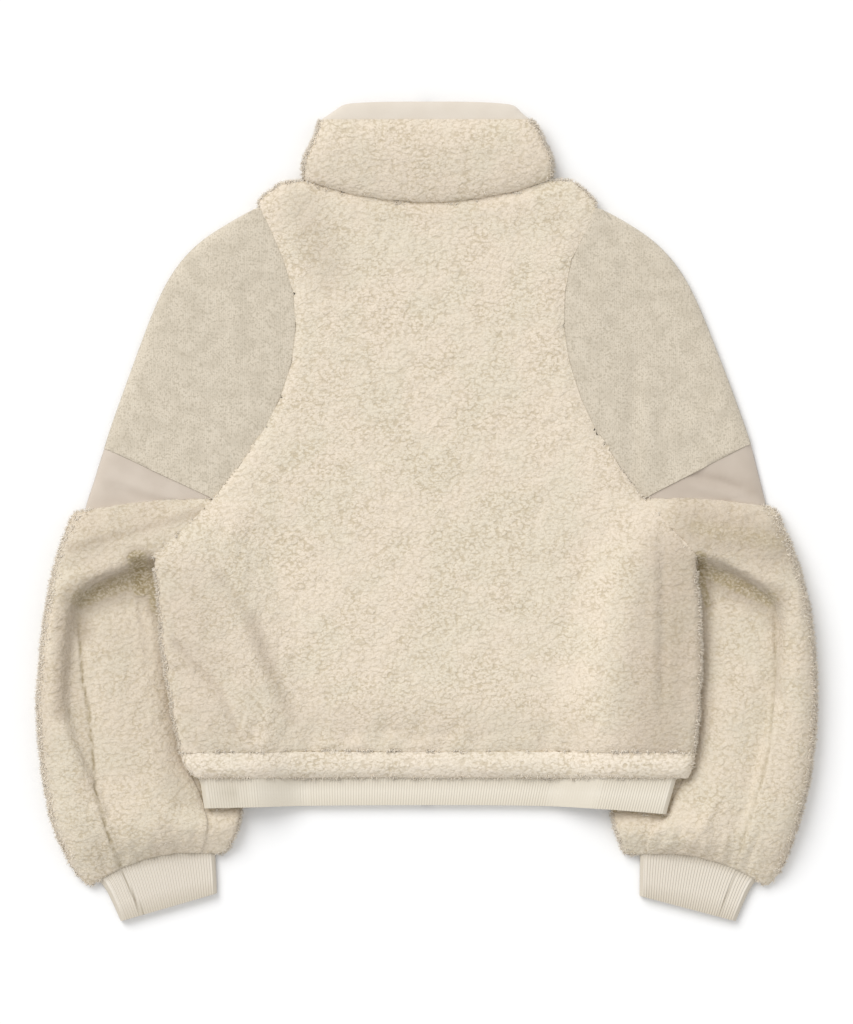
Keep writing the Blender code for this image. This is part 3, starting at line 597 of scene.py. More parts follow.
@dataclass(frozen=True)
class RibFinish:
    """Ribbed knit: the ribs are in the form, and the cloth adds its small stitches and painted shade in its
    furrows.
    """

    crest: Color = (0.82, 0.765, 0.68, 1.0)
    # The painted shade in the furrows, where the surface turns to the side; its colour also tints the fuzz's
    # fine specks
    furrow_shade: Color = (0.50, 0.44, 0.345, 1.0)
    seam: Color = (0.33, 0.28, 0.2, 1.0)
    # The painted shade where the knit lies out of the light
    deep: Color = (0.38, 0.33, 0.235, 1.0)
    stitch_mm: float = 1.4

    def material(self, name: str) -> bpy.types.Material:
        """Makes the material.

        Args:
            name: Its name.

        Returns:
            The material.
        """
        bench = Bench(name)
        rows = bench.stripes(self.stitch_mm, "Y", 1.0)
        fuzz = bench.noise(1.2)
        # Painted shade in the furrows, darker where the surface turns to the side
        color = bench.blend(bench.times(bench.painted("furrow_shade"), 0.7), self.crest, self.furrow_shade)
        color = bench.blend(bench.spread(fuzz, 0.35, 0.75, 0.0, 0.12), color, self.furrow_shade)
        color = bench.blend(bench.painted("seam"), color, self.seam)
        # Painted shade where the knit lies out of the light
        color = bench.blend(bench.painted("painted_shade"), color, self.deep)
        height = bench.plus(bench.times(rows, 0.4), fuzz)
        return bench.finish(color, bench.bump(height, 0.35, 0.35), 0.85, 0.25)


@dataclass(frozen=True)
class MetalFinish:
    """Satin metal with fine brushing."""

    face: Color = (0.62, 0.60, 0.56, 1.0)
    dim: Color = (0.4, 0.39, 0.36, 1.0)

    def material(self, name: str) -> bpy.types.Material:
        """Makes the material.

        Args:
            name: Its name.

        Returns:
            The material.
        """
        bench = Bench(name)
        brushed = bench.noise(0.8, 3.0)
        color = bench.blend(bench.spread(brushed, 0.3, 0.7, 0.0, 0.3), self.face, self.dim)
        bench.shader.inputs["Metallic"].default_value = 1.0
        return bench.finish(color, bench.bump(brushed, 0.05, 0.2), 0.35, 0.0)


@dataclass(frozen=True)
class FloorFinish:
    """The plain pale surface that the jacket lies on."""

    face: Color = (0.93, 0.93, 0.93, 1.0)

    def material(self, name: str) -> bpy.types.Material:
        """Makes the material under this name."""
        return Bench(name).finish(self.face, None, 0.9, 0.0)


# ---------------------------------------------------------------- cloth pieces


class Room:
    """The space round the solids: the sky above a point, and the gap between one piece and the others."""

    SMOOTH = ("shoulder", "elbow", "cuff", "hem_rib", "collar_facing")
    RINGS = ((0.35, 4), (0.8, 7), (1.15, 9))  # the ways to the sky, ring by ring: their tilt and number
    SKY = 0.09  # how far each of them reaches, in metres
    FAR = 0.1  # past the jacket's top or its underside, in metres

    def __init__(self) -> None:
        """Gathers the solids and the ways that are looked along."""
        self.everything = self.tree(frame["nodes"])
        self.smooth_cloth = self.named(*self.SMOOTH)
        self.beside_body = self.named(*self.SMOOTH, "sleeve")
        self.ways = [
            Vector((math.cos(turn) * math.sin(tilt), math.sin(turn) * math.sin(tilt), math.cos(tilt)))
            for tilt, count in self.RINGS
            for turn in (math.tau * (i + tilt) / count for i in range(count))
        ]

    def tree(self, names: Iterable[str]) -> BVHTree:
        """Makes solids ready to be searched.

        Args:
            names: The solids' nodes.

        Returns:
            Their faces in one search tree.
        """
        points: list[Vector] = []
        faces: list[list[int]] = []
        for name in names:
            base = len(points)
            solid = frame["nodes"][name].data
            points += [vert.co.copy() for vert in solid.vertices]
            faces += [[base + i for i in polygon.vertices] for polygon in solid.polygons]
        return BVHTree.FromPolygons(points, faces)

    def named(self, *starts: str) -> BVHTree:
        """The solids whose names start with one of these words."""
        return self.tree(name for name in frame["nodes"] if name.startswith(starts))

    def others(self, name: str) -> BVHTree:
        """All the solids but this one."""
        return self.tree(other for other in frame["nodes"] if other != name)

    def is_open(self, point: Vector) -> bool:
        """Whether nothing lies straight above a point."""
        return self.everything.ray_cast(point, UP, self.FAR)[0] is None

    def is_off(self, point: Vector) -> bool:
        """Whether nothing lies straight below a point."""
        return self.everything.ray_cast(point, DOWN, self.FAR)[0] is None

    def is_clear(self, point: Vector, way: Vector, reach_mm: float) -> bool:
        """Whether nothing lies within reach of a point, one way."""
        return self.everything.ray_cast(point + way * 2.0 * MM, way, reach_mm * MM)[0] is None

    def painted_shade(self, point: Vector) -> float:
        """How much of the sky near a point is hidden, from 0 to 1, which the cloth paints as shade."""
        hidden = sum(self.everything.ray_cast(point, way, self.SKY)[0] is not None for way in self.ways)
        return hidden / len(self.ways)


ROOM = Room()


@dataclass
class LooseCurls:
    """Wisps of wool that stand up from a fleece piece along its rounded edges and over its seams."""

    name: str
    node: str
    count: int
    seed: int
    outermost: bool = False  # only where nothing lies under the wisps
    clear_mm: float = 45.0  # how far an edge is from the next piece, at least
    beside_mm: float = 12.0  # where an outermost edge has nothing below
    length_mm: float = 4.4
    wool_mm: float = 0.7
    tip_mm: float = 0.12
    root_mm: float = 0.8
    sizes: tuple[float, float] = (0.55, 1.2)
    bend: float = 0.55
    droop: float = 0.25
    tuft_mm: float = 3.5
    tuft_lean: float = 1.3
    stray: float = 0.35
    rises: tuple[float, float] = (-0.25, 0.93)  # how far up a face with wisps looks, at least and at most
    lowest_mm: float = 3.0
    floor_mm: float = 0.3

    def wisp(self) -> bpy.types.Mesh:
        """Makes one wisp: a tapering, bent lock of wool that starts just under the cloth.

        Returns:
            Its mesh.
        """
        length = self.length_mm * MM
        bm = bmesh.new()
        bmesh.ops.create_cone(
            bm, cap_ends=True, segments=3, radius1=self.wool_mm * MM, radius2=self.tip_mm * MM, depth=length
        )
        sides = [edge for edge in bm.edges if abs(edge.verts[0].co.z - edge.verts[1].co.z) > 1e-6]
        bmesh.ops.subdivide_edges(bm, edges=sides, cuts=1)
        for vert in bm.verts:
            rise = vert.co.z / length + 0.5
            vert.co.x += self.bend * length * rise**2
            vert.co.z += (0.5 - self.droop * rise**2) * length
        mesh = bpy.data.meshes.new("wisp")
        bm.to_mesh(mesh)
        bm.free()
        return mesh

    def roots(self, cloth: bpy.types.Mesh, chance: random.Random) -> list[tuple[Vector, Vector]]:
        """Picks where wisps start: off the outer edges, and over the seams.

        Args:
            cloth: The piece's mesh.
            chance: The source of the draws.

        Returns:
            Each wisp's root, and the way that it leans.
        """
        others = ROOM.others(self.node)
        steepest, flattest = self.rises
        faces, weights, ways = [], [], []
        for face in cloth.polygons:
            rise = face.normal.z
            if not steepest < rise < flattest or face.center.z < self.lowest_mm * MM:
                continue
            if not ROOM.is_open(face.center + face.normal * 2.0 * MM):
                continue
            aside = Vector((face.normal.x, face.normal.y, 0.0)).normalized()
            sewn = others.ray_cast(face.center, aside, 4.0 * MM)[0] is not None
            if sewn and rise < 0.35 or not (sewn or ROOM.is_clear(face.center, aside, self.clear_mm)):
                continue
            if self.outermost and not sewn and not ROOM.is_off(face.center + aside * self.beside_mm * MM):
                continue
            faces.append(face)
            weights.append(face.area * (0.5 if sewn else max(0.0, 0.8 - rise)))
            ways.append(face.normal + aside if sewn else face.normal.copy())
        corners = [[cloth.vertices[i].co for i in face.vertices] for face in faces]
        roots = []
        for i in chance.choices(range(len(faces)), weights, k=self.count):
            shares = [chance.random() for _ in corners[i]]
            place = sum((corner * share for corner, share in zip(corners[i], shares)), Vector()) / sum(shares)
            roots.append((place, ways[i].normalized()))
        return roots

    def build(self, cloth: bpy.types.Object) -> bpy.types.Object:
        """Sets the wisps on a piece of cloth.

        Args:
            cloth: The piece.

        Returns:
            The wisps as one object.
        """
        chance = random.Random(self.seed)
        wisp = self.wisp()
        shape = np.array([vert.co[:] for vert in wisp.vertices])
        faces = [list(polygon.vertices) for polygon in wisp.polygons]
        points, polygons = [], []
        for centre, normal in self.roots(cloth.data, chance):
            tuft = noise.noise_vector(centre / (self.tuft_mm * MM)) * self.tuft_lean
            stray = Vector([chance.uniform(-self.stray, self.stray) for _ in range(3)])
            up = (normal + tuft + stray).normalized()
            angle = chance.uniform(0, math.tau)
            spun = up.to_track_quat("Z", "Y").to_matrix() @ Vector((math.cos(angle), math.sin(angle), 0.0))
            axes = np.array([spun[:], up.cross(spun)[:], up[:]])
            size = chance.uniform(*self.sizes)
            start = np.array(centre) - np.array(up) * self.root_mm * MM
            base = len(points) * len(shape)
            points.append(shape * size @ axes + start)
            polygons += [[base + i for i in face] for face in faces]
        bpy.data.meshes.remove(wisp)
        locks = np.concatenate(points)
        locks[:, 2] = np.maximum(locks[:, 2], self.floor_mm * MM)
        mesh = bpy.data.meshes.new(self.name)
        mesh.from_pydata(locks.tolist(), [], polygons)
        mesh.shade_smooth()
        mesh.materials.append(WoolFinish().material(self.name))
        curls = bpy.data.objects.new(self.name, mesh)
        bpy.context.scene.collection.objects.link(curls)
        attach(curls, "root")
        LOG.info("%s: %d curls", self.name, self.count)
        return curls


@dataclass
class Cloth:
    """A piece of cloth on the form of its solid: evenly divided, rounded and given its relief."""

    LUMPS = ((12.0, 0.8), (4.5, 0.7))  # the pile's lumps: about their size, and their share of its height

    name: str
    node: str
    flat: tuple[float, float]
    area: float
    slot: str = "smooth_cloth"
    finish: object = WovenFinish()
    rests_on: tuple[str, ...] = ()
    rounding: int = 2
    firmness: float = 0.5
    grain_mm: float = 3.0
    finely_above_mm: float = 12.5
    folds: tuple[Fold, ...] = ()
    seams: tuple[Seam, ...] = ()
    shades: tuple[Shade, ...] = ()
    pile_mm: float = 0.0
    swell_mm: float = 0.8
    floor_mm: float = 0.2
    # Whether shade is painted where the sky above the piece is hidden
    sheltered: bool = False
    loose_curls: int = 0
    curls_outermost: bool = False
    passes: int = 1

    def is_sewn(self, edge: bmesh.types.BMEdge, others: BVHTree) -> bool:
        """Whether an edge lies along a seam with another piece."""
        return others.find_nearest((edge.verts[0].co + edge.verts[1].co) / 2.0, 1.5 * MM)[0] is not None

    def skin(self) -> bmesh.types.BMesh:
        """Makes the solid's surface: its free edges rounded, its seams kept close, its top finely divided.

        Returns:
            The surface.
        """
        bm = bmesh.new()
        bm.from_mesh(frame["nodes"][self.node].data)
        bmesh.ops.remove_doubles(bm, verts=bm.verts, dist=1e-5)
        bmesh.ops.join_triangles(
            bm, faces=bm.faces, angle_face_threshold=math.radians(50), angle_shape_threshold=math.radians(60)
        )
        others = ROOM.others(self.node)
        crease = bm.edges.layers.float.new("crease_edge")
        for edge in bm.edges:
            if len(edge.link_faces) == 2 and edge.calc_face_angle() > RIM:
                edge[crease] = 1.0 if self.is_sewn(edge, others) else self.firmness
        draft = self.draft()
        bm.to_mesh(draft.data)
        bm.free()
        draft.modifiers.new("Rounding", "SUBSURF").levels = self.rounding
        fine = self.result(draft)
        for _ in range(self.passes):
            fine.normal_update()
            long = dict.fromkeys(
                edge
                for face in fine.faces
                if face.normal.z > -0.2 and face.calc_center_median().z > self.finely_above_mm * MM
                for edge in face.edges
                if edge.calc_length() > self.grain_mm * MM
            )
            bmesh.ops.subdivide_edges(fine, edges=list(long), cuts=1, use_grid_fill=True)
            bmesh.ops.triangulate(fine, faces=[face for face in fine.faces if len(face.verts) > 4])
        return fine

    def draft(self) -> bpy.types.Object:
        """Makes an object for modifiers to work on.

        Returns:
            The object, with a copy of the solid's mesh.
        """
        draft = bpy.data.objects.new(self.name + "_draft", frame["nodes"][self.node].data.copy())
        bpy.context.scene.collection.objects.link(draft)
        return draft

    def result(self, draft: bpy.types.Object) -> bmesh.types.BMesh:
        """Applies a draft's modifiers and takes the draft away.

        Args:
            draft: The object from draft().

        Returns:
            What its modifiers make of it.
        """
        bpy.context.view_layer.update()
        made = bpy.data.meshes.new_from_object(draft.evaluated_get(bpy.context.evaluated_depsgraph_get()))
        bm = bmesh.new()
        bm.from_mesh(made)
        bpy.data.meshes.remove(made)
        bpy.data.meshes.remove(draft.data)
        return bm

    def room(self, points: np.ndarray, normals: np.ndarray) -> np.ndarray:
        """Measures how far points can move out before they meet the other pieces' half of the gap.

        Args:
            points: The points, one row each, in metres.
            normals: Their normals.

        Returns:
            The distances in metres, without end where no piece is near.
        """
        others = ROOM.others(self.node)
        room = np.full(len(points), np.inf)
        for i, (point, normal) in enumerate(zip(points, normals)):
            distance = others.ray_cast(Vector(point), Vector(normal), 8.0 * MM)[3]
            if distance is not None:
                room[i] = max(0.0, distance / 2.0 - 0.04 * MM)
        return room

    def lapped(self) -> BVHTree:
        """The pieces that this one's pile laps over at its seams."""
        return ROOM.smooth_cloth

    def close_rims(self, moved: np.ndarray, points: np.ndarray, normals: np.ndarray) -> None:
        """Moves the points of sewn rims sideways: pile laps over some pieces, and others meet in the middle.

        Args:
            moved: The points as moved so far, which are changed.
            points: The points on the solid.
            normals: Their normals.
        """
        others, lapped = ROOM.others(self.node), self.lapped()
        for i in np.flatnonzero((normals[:, 2] > 0.25) & (normals[:, 2] < 0.97)):
            aside = Vector((normals[i, 0], normals[i, 1], 0.0)).normalized()
            below = Vector(points[i]) - Vector((0.0, 0.0, 0.6 * MM))
            distance = others.ray_cast(below, aside, SEAM_REACH * MM)[3]
            if distance is None:
                continue
            moved[i, :2] = points[i, :2] + np.array(aside[:2]) * max(0.0, distance / 2.0 - 0.03 * MM)
            if not self.pile_mm or lapped.ray_cast(below, aside, SEAM_REACH * MM)[0] is None:
                continue
            over = points[i, :2] + np.array(aside[:2]) * (distance + 0.5 * MM)
            under = lapped.ray_cast(Vector((*over, ROOM.FAR)), DOWN, ROOM.FAR)[0]
            if under is not None and under.z < points[i, 2] + 2.5 * MM:
                moved[i, :2], moved[i, 2] = over, max(moved[i, 2], under.z + 0.3 * MM)

    def pile(self, points: np.ndarray) -> np.ndarray:
        """The height of the pile's lumps at each point, in metres."""
        at = [[noise.noise(Vector(point) / (size * MM)) for point in points] for size, _ in self.LUMPS]
        return sum(np.array(values) * share for values, (_, share) in zip(at, self.LUMPS)) * self.pile_mm * MM

    def relief(self, points: np.ndarray, normals: np.ndarray) -> tuple[np.ndarray, dict[str, np.ndarray]]:
        """Moves the points for the cloth's folds, seams and pile.

        Args:
            points: The points, one row each, in metres.
            normals: Their normals.

        Returns:
            The moved points, and the values by name that the finish reads at them.
        """
        top = smooth_step((normals[:, 2] - 0.1) / 0.5)
        for i in np.flatnonzero(top):
            top[i] *= ROOM.is_open(Vector(points[i] + normals[i] * 3.0 * MM))
        pull, seam_shade = seam_pull(points, self.seams)
        out = -pull * top
        if self.pile_mm:
            out += self.pile(points) * (1.0 - 0.6 * seam_shade)
        out += (1.0 - np.abs(normals[:, 2])) * self.swell_mm * MM
        room = self.room(points, normals)
        sewn = (np.abs(normals[:, 2]) < 0.8) & (room < 1.5 * MM)
        out = np.where(sewn, room, np.minimum(out, room))
        moved = points + normals * out[:, None]
        self.close_rims(moved, points, normals)
        moved[:, 2] += fold_lift(points, self.folds) * top
        moved[:, 2] = np.maximum(moved[:, 2], self.floor_mm * MM)
        # The finish reads a seam's dark line and the painted shade
        return moved, {"seam": seam_shade * top, "painted_shade": self.painted_shade(points, normals, top)}

    def painted_shade(self, points: np.ndarray, normals: np.ndarray, top: np.ndarray) -> np.ndarray:
        """Works out the painted shade at each point, from how far it is hidden from the light and from the
        piece's shades.

        Args:
            points: The points, one row each, in metres.
            normals: Their normals.
            top: How much each of them belongs to the open top, from 0 to 1.

        Returns:
            The painted shade, from 0 to 1.
        """
        hidden = np.zeros(len(points))
        if self.sheltered:
            for i in np.flatnonzero(top > 0.05):
                hidden[i] = ROOM.painted_shade(Vector(points[i] + normals[i] * 3.0 * MM))
        hidden = smooth_step((hidden - 0.06) / 0.5) * 0.7
        seen = np.minimum(1.0, top * 3.0)
        for shade in self.shades:
            _, aside = line_reach(points, plan(*shade.start), plan(*shade.end))
            share = smooth_step(1.0 - aside / (shade.reach * MM))
            hidden = np.maximum(hidden, shade.depth * share * seen)
        return hidden

    def build(self) -> bpy.types.Object:
        """Makes the piece, dresses it and ties it to the frame.

        Returns:
            The piece.
        """
        bm = self.skin()
        bm.normal_update()
        others = ROOM.others(self.node)
        for edge in bm.edges:
            if len(edge.link_faces) == 2 and edge.calc_face_angle(0.0) > math.radians(38):
                edge.smooth = self.firmness < 1.0 and not self.is_sewn(edge, others)
        points = np.array([vert.co[:] for vert in bm.verts])
        normals = np.array([vert.normal[:] for vert in bm.verts])
        moved, painted = self.relief(points, normals)
        for vert, point in zip(bm.verts, moved):
            vert.co = point
        for face in bm.faces:
            face.smooth = True
        mesh = bpy.data.meshes.new(self.name)
        bm.to_mesh(mesh)
        bm.free()
        for name, values in painted.items():
            layer = mesh.attributes.new(name, "FLOAT", "POINT")
            layer.data.foreach_set("value", values.astype(np.float32))
        mesh.materials.append(self.finish.material(self.name))
        piece = bpy.data.objects.new(self.name, mesh)
        bpy.context.scene.collection.objects.link(piece)
        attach(piece, "root")
        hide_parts(self.node)
        if self.loose_curls:
            wisps = LooseCurls(
                self.name + "_curls", self.node, self.loose_curls, len(self.name), self.curls_outermost
            )
            wisps.build(piece)
        LOG.info("%s: %d faces", self.name, len(mesh.polygons))
        return piece


@dataclass
class Fleece(Cloth):
    """A piece of curly fleece."""

    slot: str = "fleece"
    finish: FleeceFinish = FleeceFinish()
    firmness: float = 0.35
    pile_mm: float = 1.0
    sheltered: bool = True


@dataclass
class Panel(Fleece):
    """A piece of fleece in a single layer, in even faces all over."""

    softening: int = 3
    steps: int = 8  # how many lengths a rim's edge is divided into

    def lapped(self) -> BVHTree:
        """The pieces beside the body that its pile laps over: smooth cloth, and the sleeves."""
        return ROOM.beside_body

    def skin(self) -> bmesh.types.BMesh:
        """Makes the solid's surface in even faces, its free edges rounded and its seams kept close.

        Returns:
            The surface.
        """
        draft = self.draft()
        even = draft.modifiers.new("Even", "REMESH")
        even.mode = "VOXEL"
        even.voxel_size = self.grain_mm * MM
        bm = self.result(draft)
        others = ROOM.others(self.node)
        self.keep_rims(bm, others)
        free = [vert for vert in bm.verts if others.find_nearest(vert.co, 2.2 * MM)[0] is None]
        axes = {"use_axis_x": True, "use_axis_y": True, "use_axis_z": True}
        for _ in range(self.softening):
            bmesh.ops.smooth_vert(bm, verts=free, factor=0.5, **axes)
        return bm

    def keep_rims(self, bm: bmesh.types.BMesh, others: BVHTree) -> None:
        """Moves the points next to a sewn rim of the solid onto it.

        Args:
            bm: The surface in even faces.
            others: The other pieces' solids.
        """
        solid = bmesh.new()
        solid.from_mesh(frame["nodes"][self.node].data)
        bmesh.ops.remove_doubles(solid, verts=solid.verts, dist=1e-5)
        sharp = [edge for edge in solid.edges if len(edge.link_faces) == 2 and edge.calc_face_angle() > RIM]
        rims = [[vert.co.copy() for vert in edge.verts] for edge in sharp if self.is_sewn(edge, others)]
        solid.free()
        shares = [i / self.steps for i in range(self.steps + 1)]
        tree = KDTree(len(rims) * len(shares))
        for rim, (start, end) in enumerate(rims):
            for share in shares:
                tree.insert(start.lerp(end, share), rim)
        tree.balance()
        for vert in bm.verts:
            place, rim, distance = tree.find(vert.co)
            if place is not None and distance < 4.0 * MM:
                start, end = rims[rim]
                _, share = intersect_point_line(vert.co, start, end)
                foot = start.lerp(end, min(1.0, max(0.0, share)))
                if (foot - vert.co).length < 1.4 * MM:
                    vert.co = foot


@dataclass
class Rib(Cloth):
    """A piece of ribbed knit, whose ribs come from its solid."""

    slot: str = "rib_knit"
    finish: RibFinish = RibFinish()
    rounding: int = 1
    firmness: float = 1.0
    swell_mm: float = 0.0
    passes: int = 0

    def relief(self, points: np.ndarray, normals: np.ndarray) -> tuple[np.ndarray, dict[str, np.ndarray]]:
        """Adds the value of the furrows' painted shade to the cloth's relief.

        Args:
            points: The points, one row each, in metres.
            normals: Their normals.

        Returns:
            The moved points, and the values by name that the finish reads at them.
        """
        moved, painted = super().relief(points, normals)
        # Painted shade in the furrows: darker as the surface turns to the side
        painted["furrow_shade"] = smooth_step(np.hypot(normals[:, 0], normals[:, 1]) * 1.6)
        return moved, painted


def ripples(start: Place, end: Place, reach: Place, count: int, width: float, height: float) -> list[Fold]:
    """Short gathers side by side along a line, ridge and trough in turn.

    Args:
        start: Where the line starts, across and down.
        end: Where it ends.
        reach: How far each gather runs from the line, across and down.
        count: The number of gathers.
        width: Half a gather's width.
        height: A ridge's height.

    Returns:
        The gathers.
    """
    gathers = []
    for i in range(count):
        t = (i + 0.5) / count
        root = tuple(a + (b - a) * t for a, b in zip(start, end))
        length = 0.6 + 0.4 * math.sin(2.4 * i + 1.0)
        tip = tuple(a + b * length for a, b in zip(root, reach))
        gathers.append(Fold(root, tip, width, height if i % 2 else -height))
    return gathers


BODY_FOLDS = (
    Fold((-262.0, 548.0), (-215.0, 600.0), 9.0, 1.6),
    Fold((-252.0, 539.0), (-206.0, 590.0), 8.0, -2.4),
    Fold((-206.0, 590.0), (-189.0, 632.0), 8.0, -2.0),
    Fold((-209.0, 473.0), (-177.0, 516.0), 15.0, -1.6),
    Fold((-177.0, 516.0), (-157.0, 565.0), 15.0, -2.2),
    Fold((-157.0, 565.0), (-132.0, 619.0), 15.0, -1.8),
    Fold((236.0, 440.0), (236.0, 600.0), 7.0, -1.8),
    Fold((225.0, 440.0), (226.0, 600.0), 8.0, 1.2),
    *ripples((-190.0, 646.0), (170.0, 646.0), (14.0, -26.0), 22, 11.0, 0.9),
    *ripples((-60.0, 626.0), (120.0, 640.0), (48.0, 3.0), 7, 7.0, 0.8),
)
BACK_SEAMS = (
    seam((-232.0, 649.5), (-60.0, 649.8), width=3.0, depth=0.6, shade=0.4),
    seam((-60.0, 649.8), (262.0, 649.5), width=3.0, depth=0.6, shade=0.2),
)
SLEEVE_FOLDS = {
    Side.LEFT: (
        *ripples((-325.0, 770.0), (-225.0, 748.0), (-8.0, -34.0), 11, 6.0, 1.5),
        *ripples((-366.0, 420.0), (-300.0, 404.0), (6.0, 24.0), 5, 8.0, 1.3),
        Fold((-287.0, 500.0), (-276.0, 560.0), 9.0, -1.6),
        Fold((-280.0, 700.0), (-262.0, 742.0), 9.0, 2.2),
    ),
    Side.RIGHT: (
        *ripples((325.0, 770.0), (225.0, 750.0), (8.0, -34.0), 11, 6.0, 1.5),
        *ripples((366.0, 418.0), (296.0, 404.0), (-6.0, 24.0), 5, 8.0, 1.3),
        Fold((276.0, 466.0), (287.0, 508.0), 10.0, -2.6),
        Fold((287.0, 700.0), (268.0, 742.0), 9.0, 2.2),
    ),
}
SLEEVE_SEAMS = {
    Side.LEFT: (
        seam((-349.0, 522.0), (-346.0, 554.0), (-344.0, 583.0), (-341.0, 595.0), (-337.0, 619.0),
             (-335.0, 644.0), (-333.0, 664.0), (-331.0, 686.0), (-320.0, 727.0), (-307.0, 765.0),
             width=2.6, depth=1.5, shade=0.85),
    ),
    Side.RIGHT: (
        seam((347.5, 505.0), (348.0, 533.0), (348.0, 567.0), (344.0, 617.0), (341.0, 647.0),
             (337.0, 665.0), (330.0, 690.0), (325.0, 710.0), (317.0, 732.0), (309.0, 765.0),
             width=2.6, depth=1.2, shade=0.5),
    ),
}  # fmt: skip
CUFF_SEAMS = {
    Side.LEFT: (seam((-307.5, 766.0), (-296.0, 792.0), (-284.0, 813.0), width=1.6, depth=0.9, shade=0.9),),
    Side.RIGHT: (seam((311.0, 768.0), (301.0, 792.0), (291.0, 814.0), width=1.6, depth=0.9, shade=0.5),),
}
ELBOW_FOLDS = {
    Side.LEFT: (
        Fold((-330.0, 372.0), (-255.0, 400.0), 11.0, 1.5),
        Fold((-318.0, 384.0), (-262.0, 402.0), 9.0, -1.2),
    ),
    Side.RIGHT: (
        Fold((266.0, 371.0), (326.0, 391.0), 9.0, -2.2),
        Fold((262.0, 384.0), (330.0, 400.0), 9.0, 1.6),
    ),
}
SHOULDER_FOLDS = {
    Side.LEFT: (
        Fold((-238.0, 150.0), (-170.0, 200.0), 26.0, -1.6),
        Fold((-205.0, 150.0), (-190.0, 240.0), 22.0, 1.4),
        Fold((-300.0, 300.0), (-215.0, 345.0), 20.0, 1.2),
    ),
    Side.RIGHT: (
        Fold((207.0, 268.0), (205.0, 388.0), 12.0, -2.4),
        Fold((222.0, 268.0), (222.0, 380.0), 12.0, 1.6),
        Fold((190.0, 150.0), (165.0, 230.0), 20.0, 1.4),
        Fold((300.0, 300.0), (240.0, 340.0), 18.0, 1.2),
    ),
}
BODY_SHADES = (
    Shade((-240.0, 500.0), (-215.0, 640.0), 75.0, 0.24),
    Shade((-122.0, 105.0), (-98.0, 165.0), 38.0, 0.24),
    Shade((-70.0, 112.0), (130.0, 112.0), 22.0, 0.07),
    Shade((200.0, 400.0), (225.0, 520.0), 60.0, 0.06),
    Shade((-130.0, 625.0), (150.0, 630.0), 45.0, 0.16),
    Shade((-252.0, 539.0), (-206.0, 590.0), 9.0, 0.42),
    Shade((-206.0, 590.0), (-189.0, 632.0), 9.0, 0.40),
    Shade((-209.0, 473.0), (-177.0, 516.0), 14.0, 0.26),
    Shade((-177.0, 516.0), (-157.0, 565.0), 15.0, 0.42),
    Shade((-157.0, 565.0), (-132.0, 619.0), 14.0, 0.30),
    Shade((233.0, 440.0), (235.0, 600.0), 8.0, 0.14),
    Shade((-190.0, 560.0), (-120.0, 600.0), 50.0, 0.05),
    Shade((258.0, 460.0), (232.0, 640.0), 80.0, 0.52),
)
COLLAR_SHADES = (Shade((-100.0, 75.0), (100.0, 75.0), 60.0, 0.12),)
RIB_SHADES = (
    Shade((-214.0, 684.0), (-194.0, 690.0), 12.0, 0.42),
    Shade((-222.0, 690.0), (-180.0, 690.0), 26.0, 0.16),
)
SLEEVE_SHADES = {
    Side.LEFT: (
        Shade((-345.0, 440.0), (-280.0, 418.0), 60.0, 0.27),
        Shade((-355.0, 446.0), (-309.0, 433.0), 14.0, 0.52),
        Shade((-309.0, 433.0), (-229.0, 411.0), 12.0, 0.48),
        Shade((-289.0, 458.0), (-286.0, 484.0), 24.0, 0.95),
        Shade((-347.0, 497.0), (-289.0, 474.0), 34.0, 0.68),
        Shade((-352.0, 500.0), (-346.0, 530.0), 20.0, 0.55),
        Shade((-277.0, 475.0), (-271.0, 506.0), 18.0, 0.74),
        Shade((-361.0, 518.0), (-366.0, 610.0), 15.0, 0.52),
        Shade((-310.0, 540.0), (-300.0, 660.0), 40.0, 0.10),
        Shade((-352.0, 560.0), (-338.0, 680.0), 16.0, 0.22),
        Shade((-270.0, 510.0), (-235.0, 655.0), 12.0, 0.18),
        Shade((-262.0, 600.0), (-250.0, 690.0), 26.0, 0.20),
        Shade((-385.0, 560.0), (-382.0, 690.0), 16.0, 0.18),
        Shade((-330.0, 745.0), (-250.0, 735.0), 26.0, 0.12),
    ),
    Side.RIGHT: (
        Shade((270.0, 425.0), (350.0, 440.0), 52.0, 0.58),
        Shade((272.0, 456.0), (276.0, 472.0), 17.0, 0.95),
        Shade((273.0, 470.0), (281.0, 502.0), 11.0, 0.75),
        Shade((284.0, 471.0), (343.0, 497.0), 28.0, 0.69),
        Shade((335.0, 488.0), (348.0, 520.0), 17.0, 0.42),
        Shade((352.0, 510.0), (350.0, 590.0), 11.0, 0.26),
        Shade((271.0, 475.0), (277.0, 540.0), 14.0, 0.45),
        Shade((276.0, 540.0), (266.0, 665.0), 9.0, 0.42),
        Shade((376.0, 480.0), (386.0, 640.0), 16.0, 0.10),
    ),
}
ELBOW_SHADES = {
    Side.LEFT: (Shade((-330.0, 400.0), (-262.0, 398.0), 14.0, 0.12),),
    Side.RIGHT: (
        Shade((230.0, 380.0), (330.0, 385.0), 60.0, 0.26),
        Shade((267.0, 372.0), (292.0, 376.0), 8.0, 0.42),
        Shade((292.0, 376.0), (330.0, 391.0), 8.0, 0.42),
    ),
}
# The sleeves' fleece: a copy of the body's, painted darker as painted shade
SLEEVE_FLEECE_IN_PAINTED_SHADE = FleeceFinish(tip=(0.745, 0.652, 0.53, 1.0), cool=(0.715, 0.642, 0.52, 1.0))
FRONT_CLOTH = {"grain_mm": 4.5, "sheltered": False}
# The hem's fleece: a copy of the body's, painted lighter as painted light
HEM_FLEECE_IN_PAINTED_LIGHT = FleeceFinish(tip=(0.85, 0.755, 0.635, 1.0), cool=(0.81, 0.73, 0.61, 1.0))
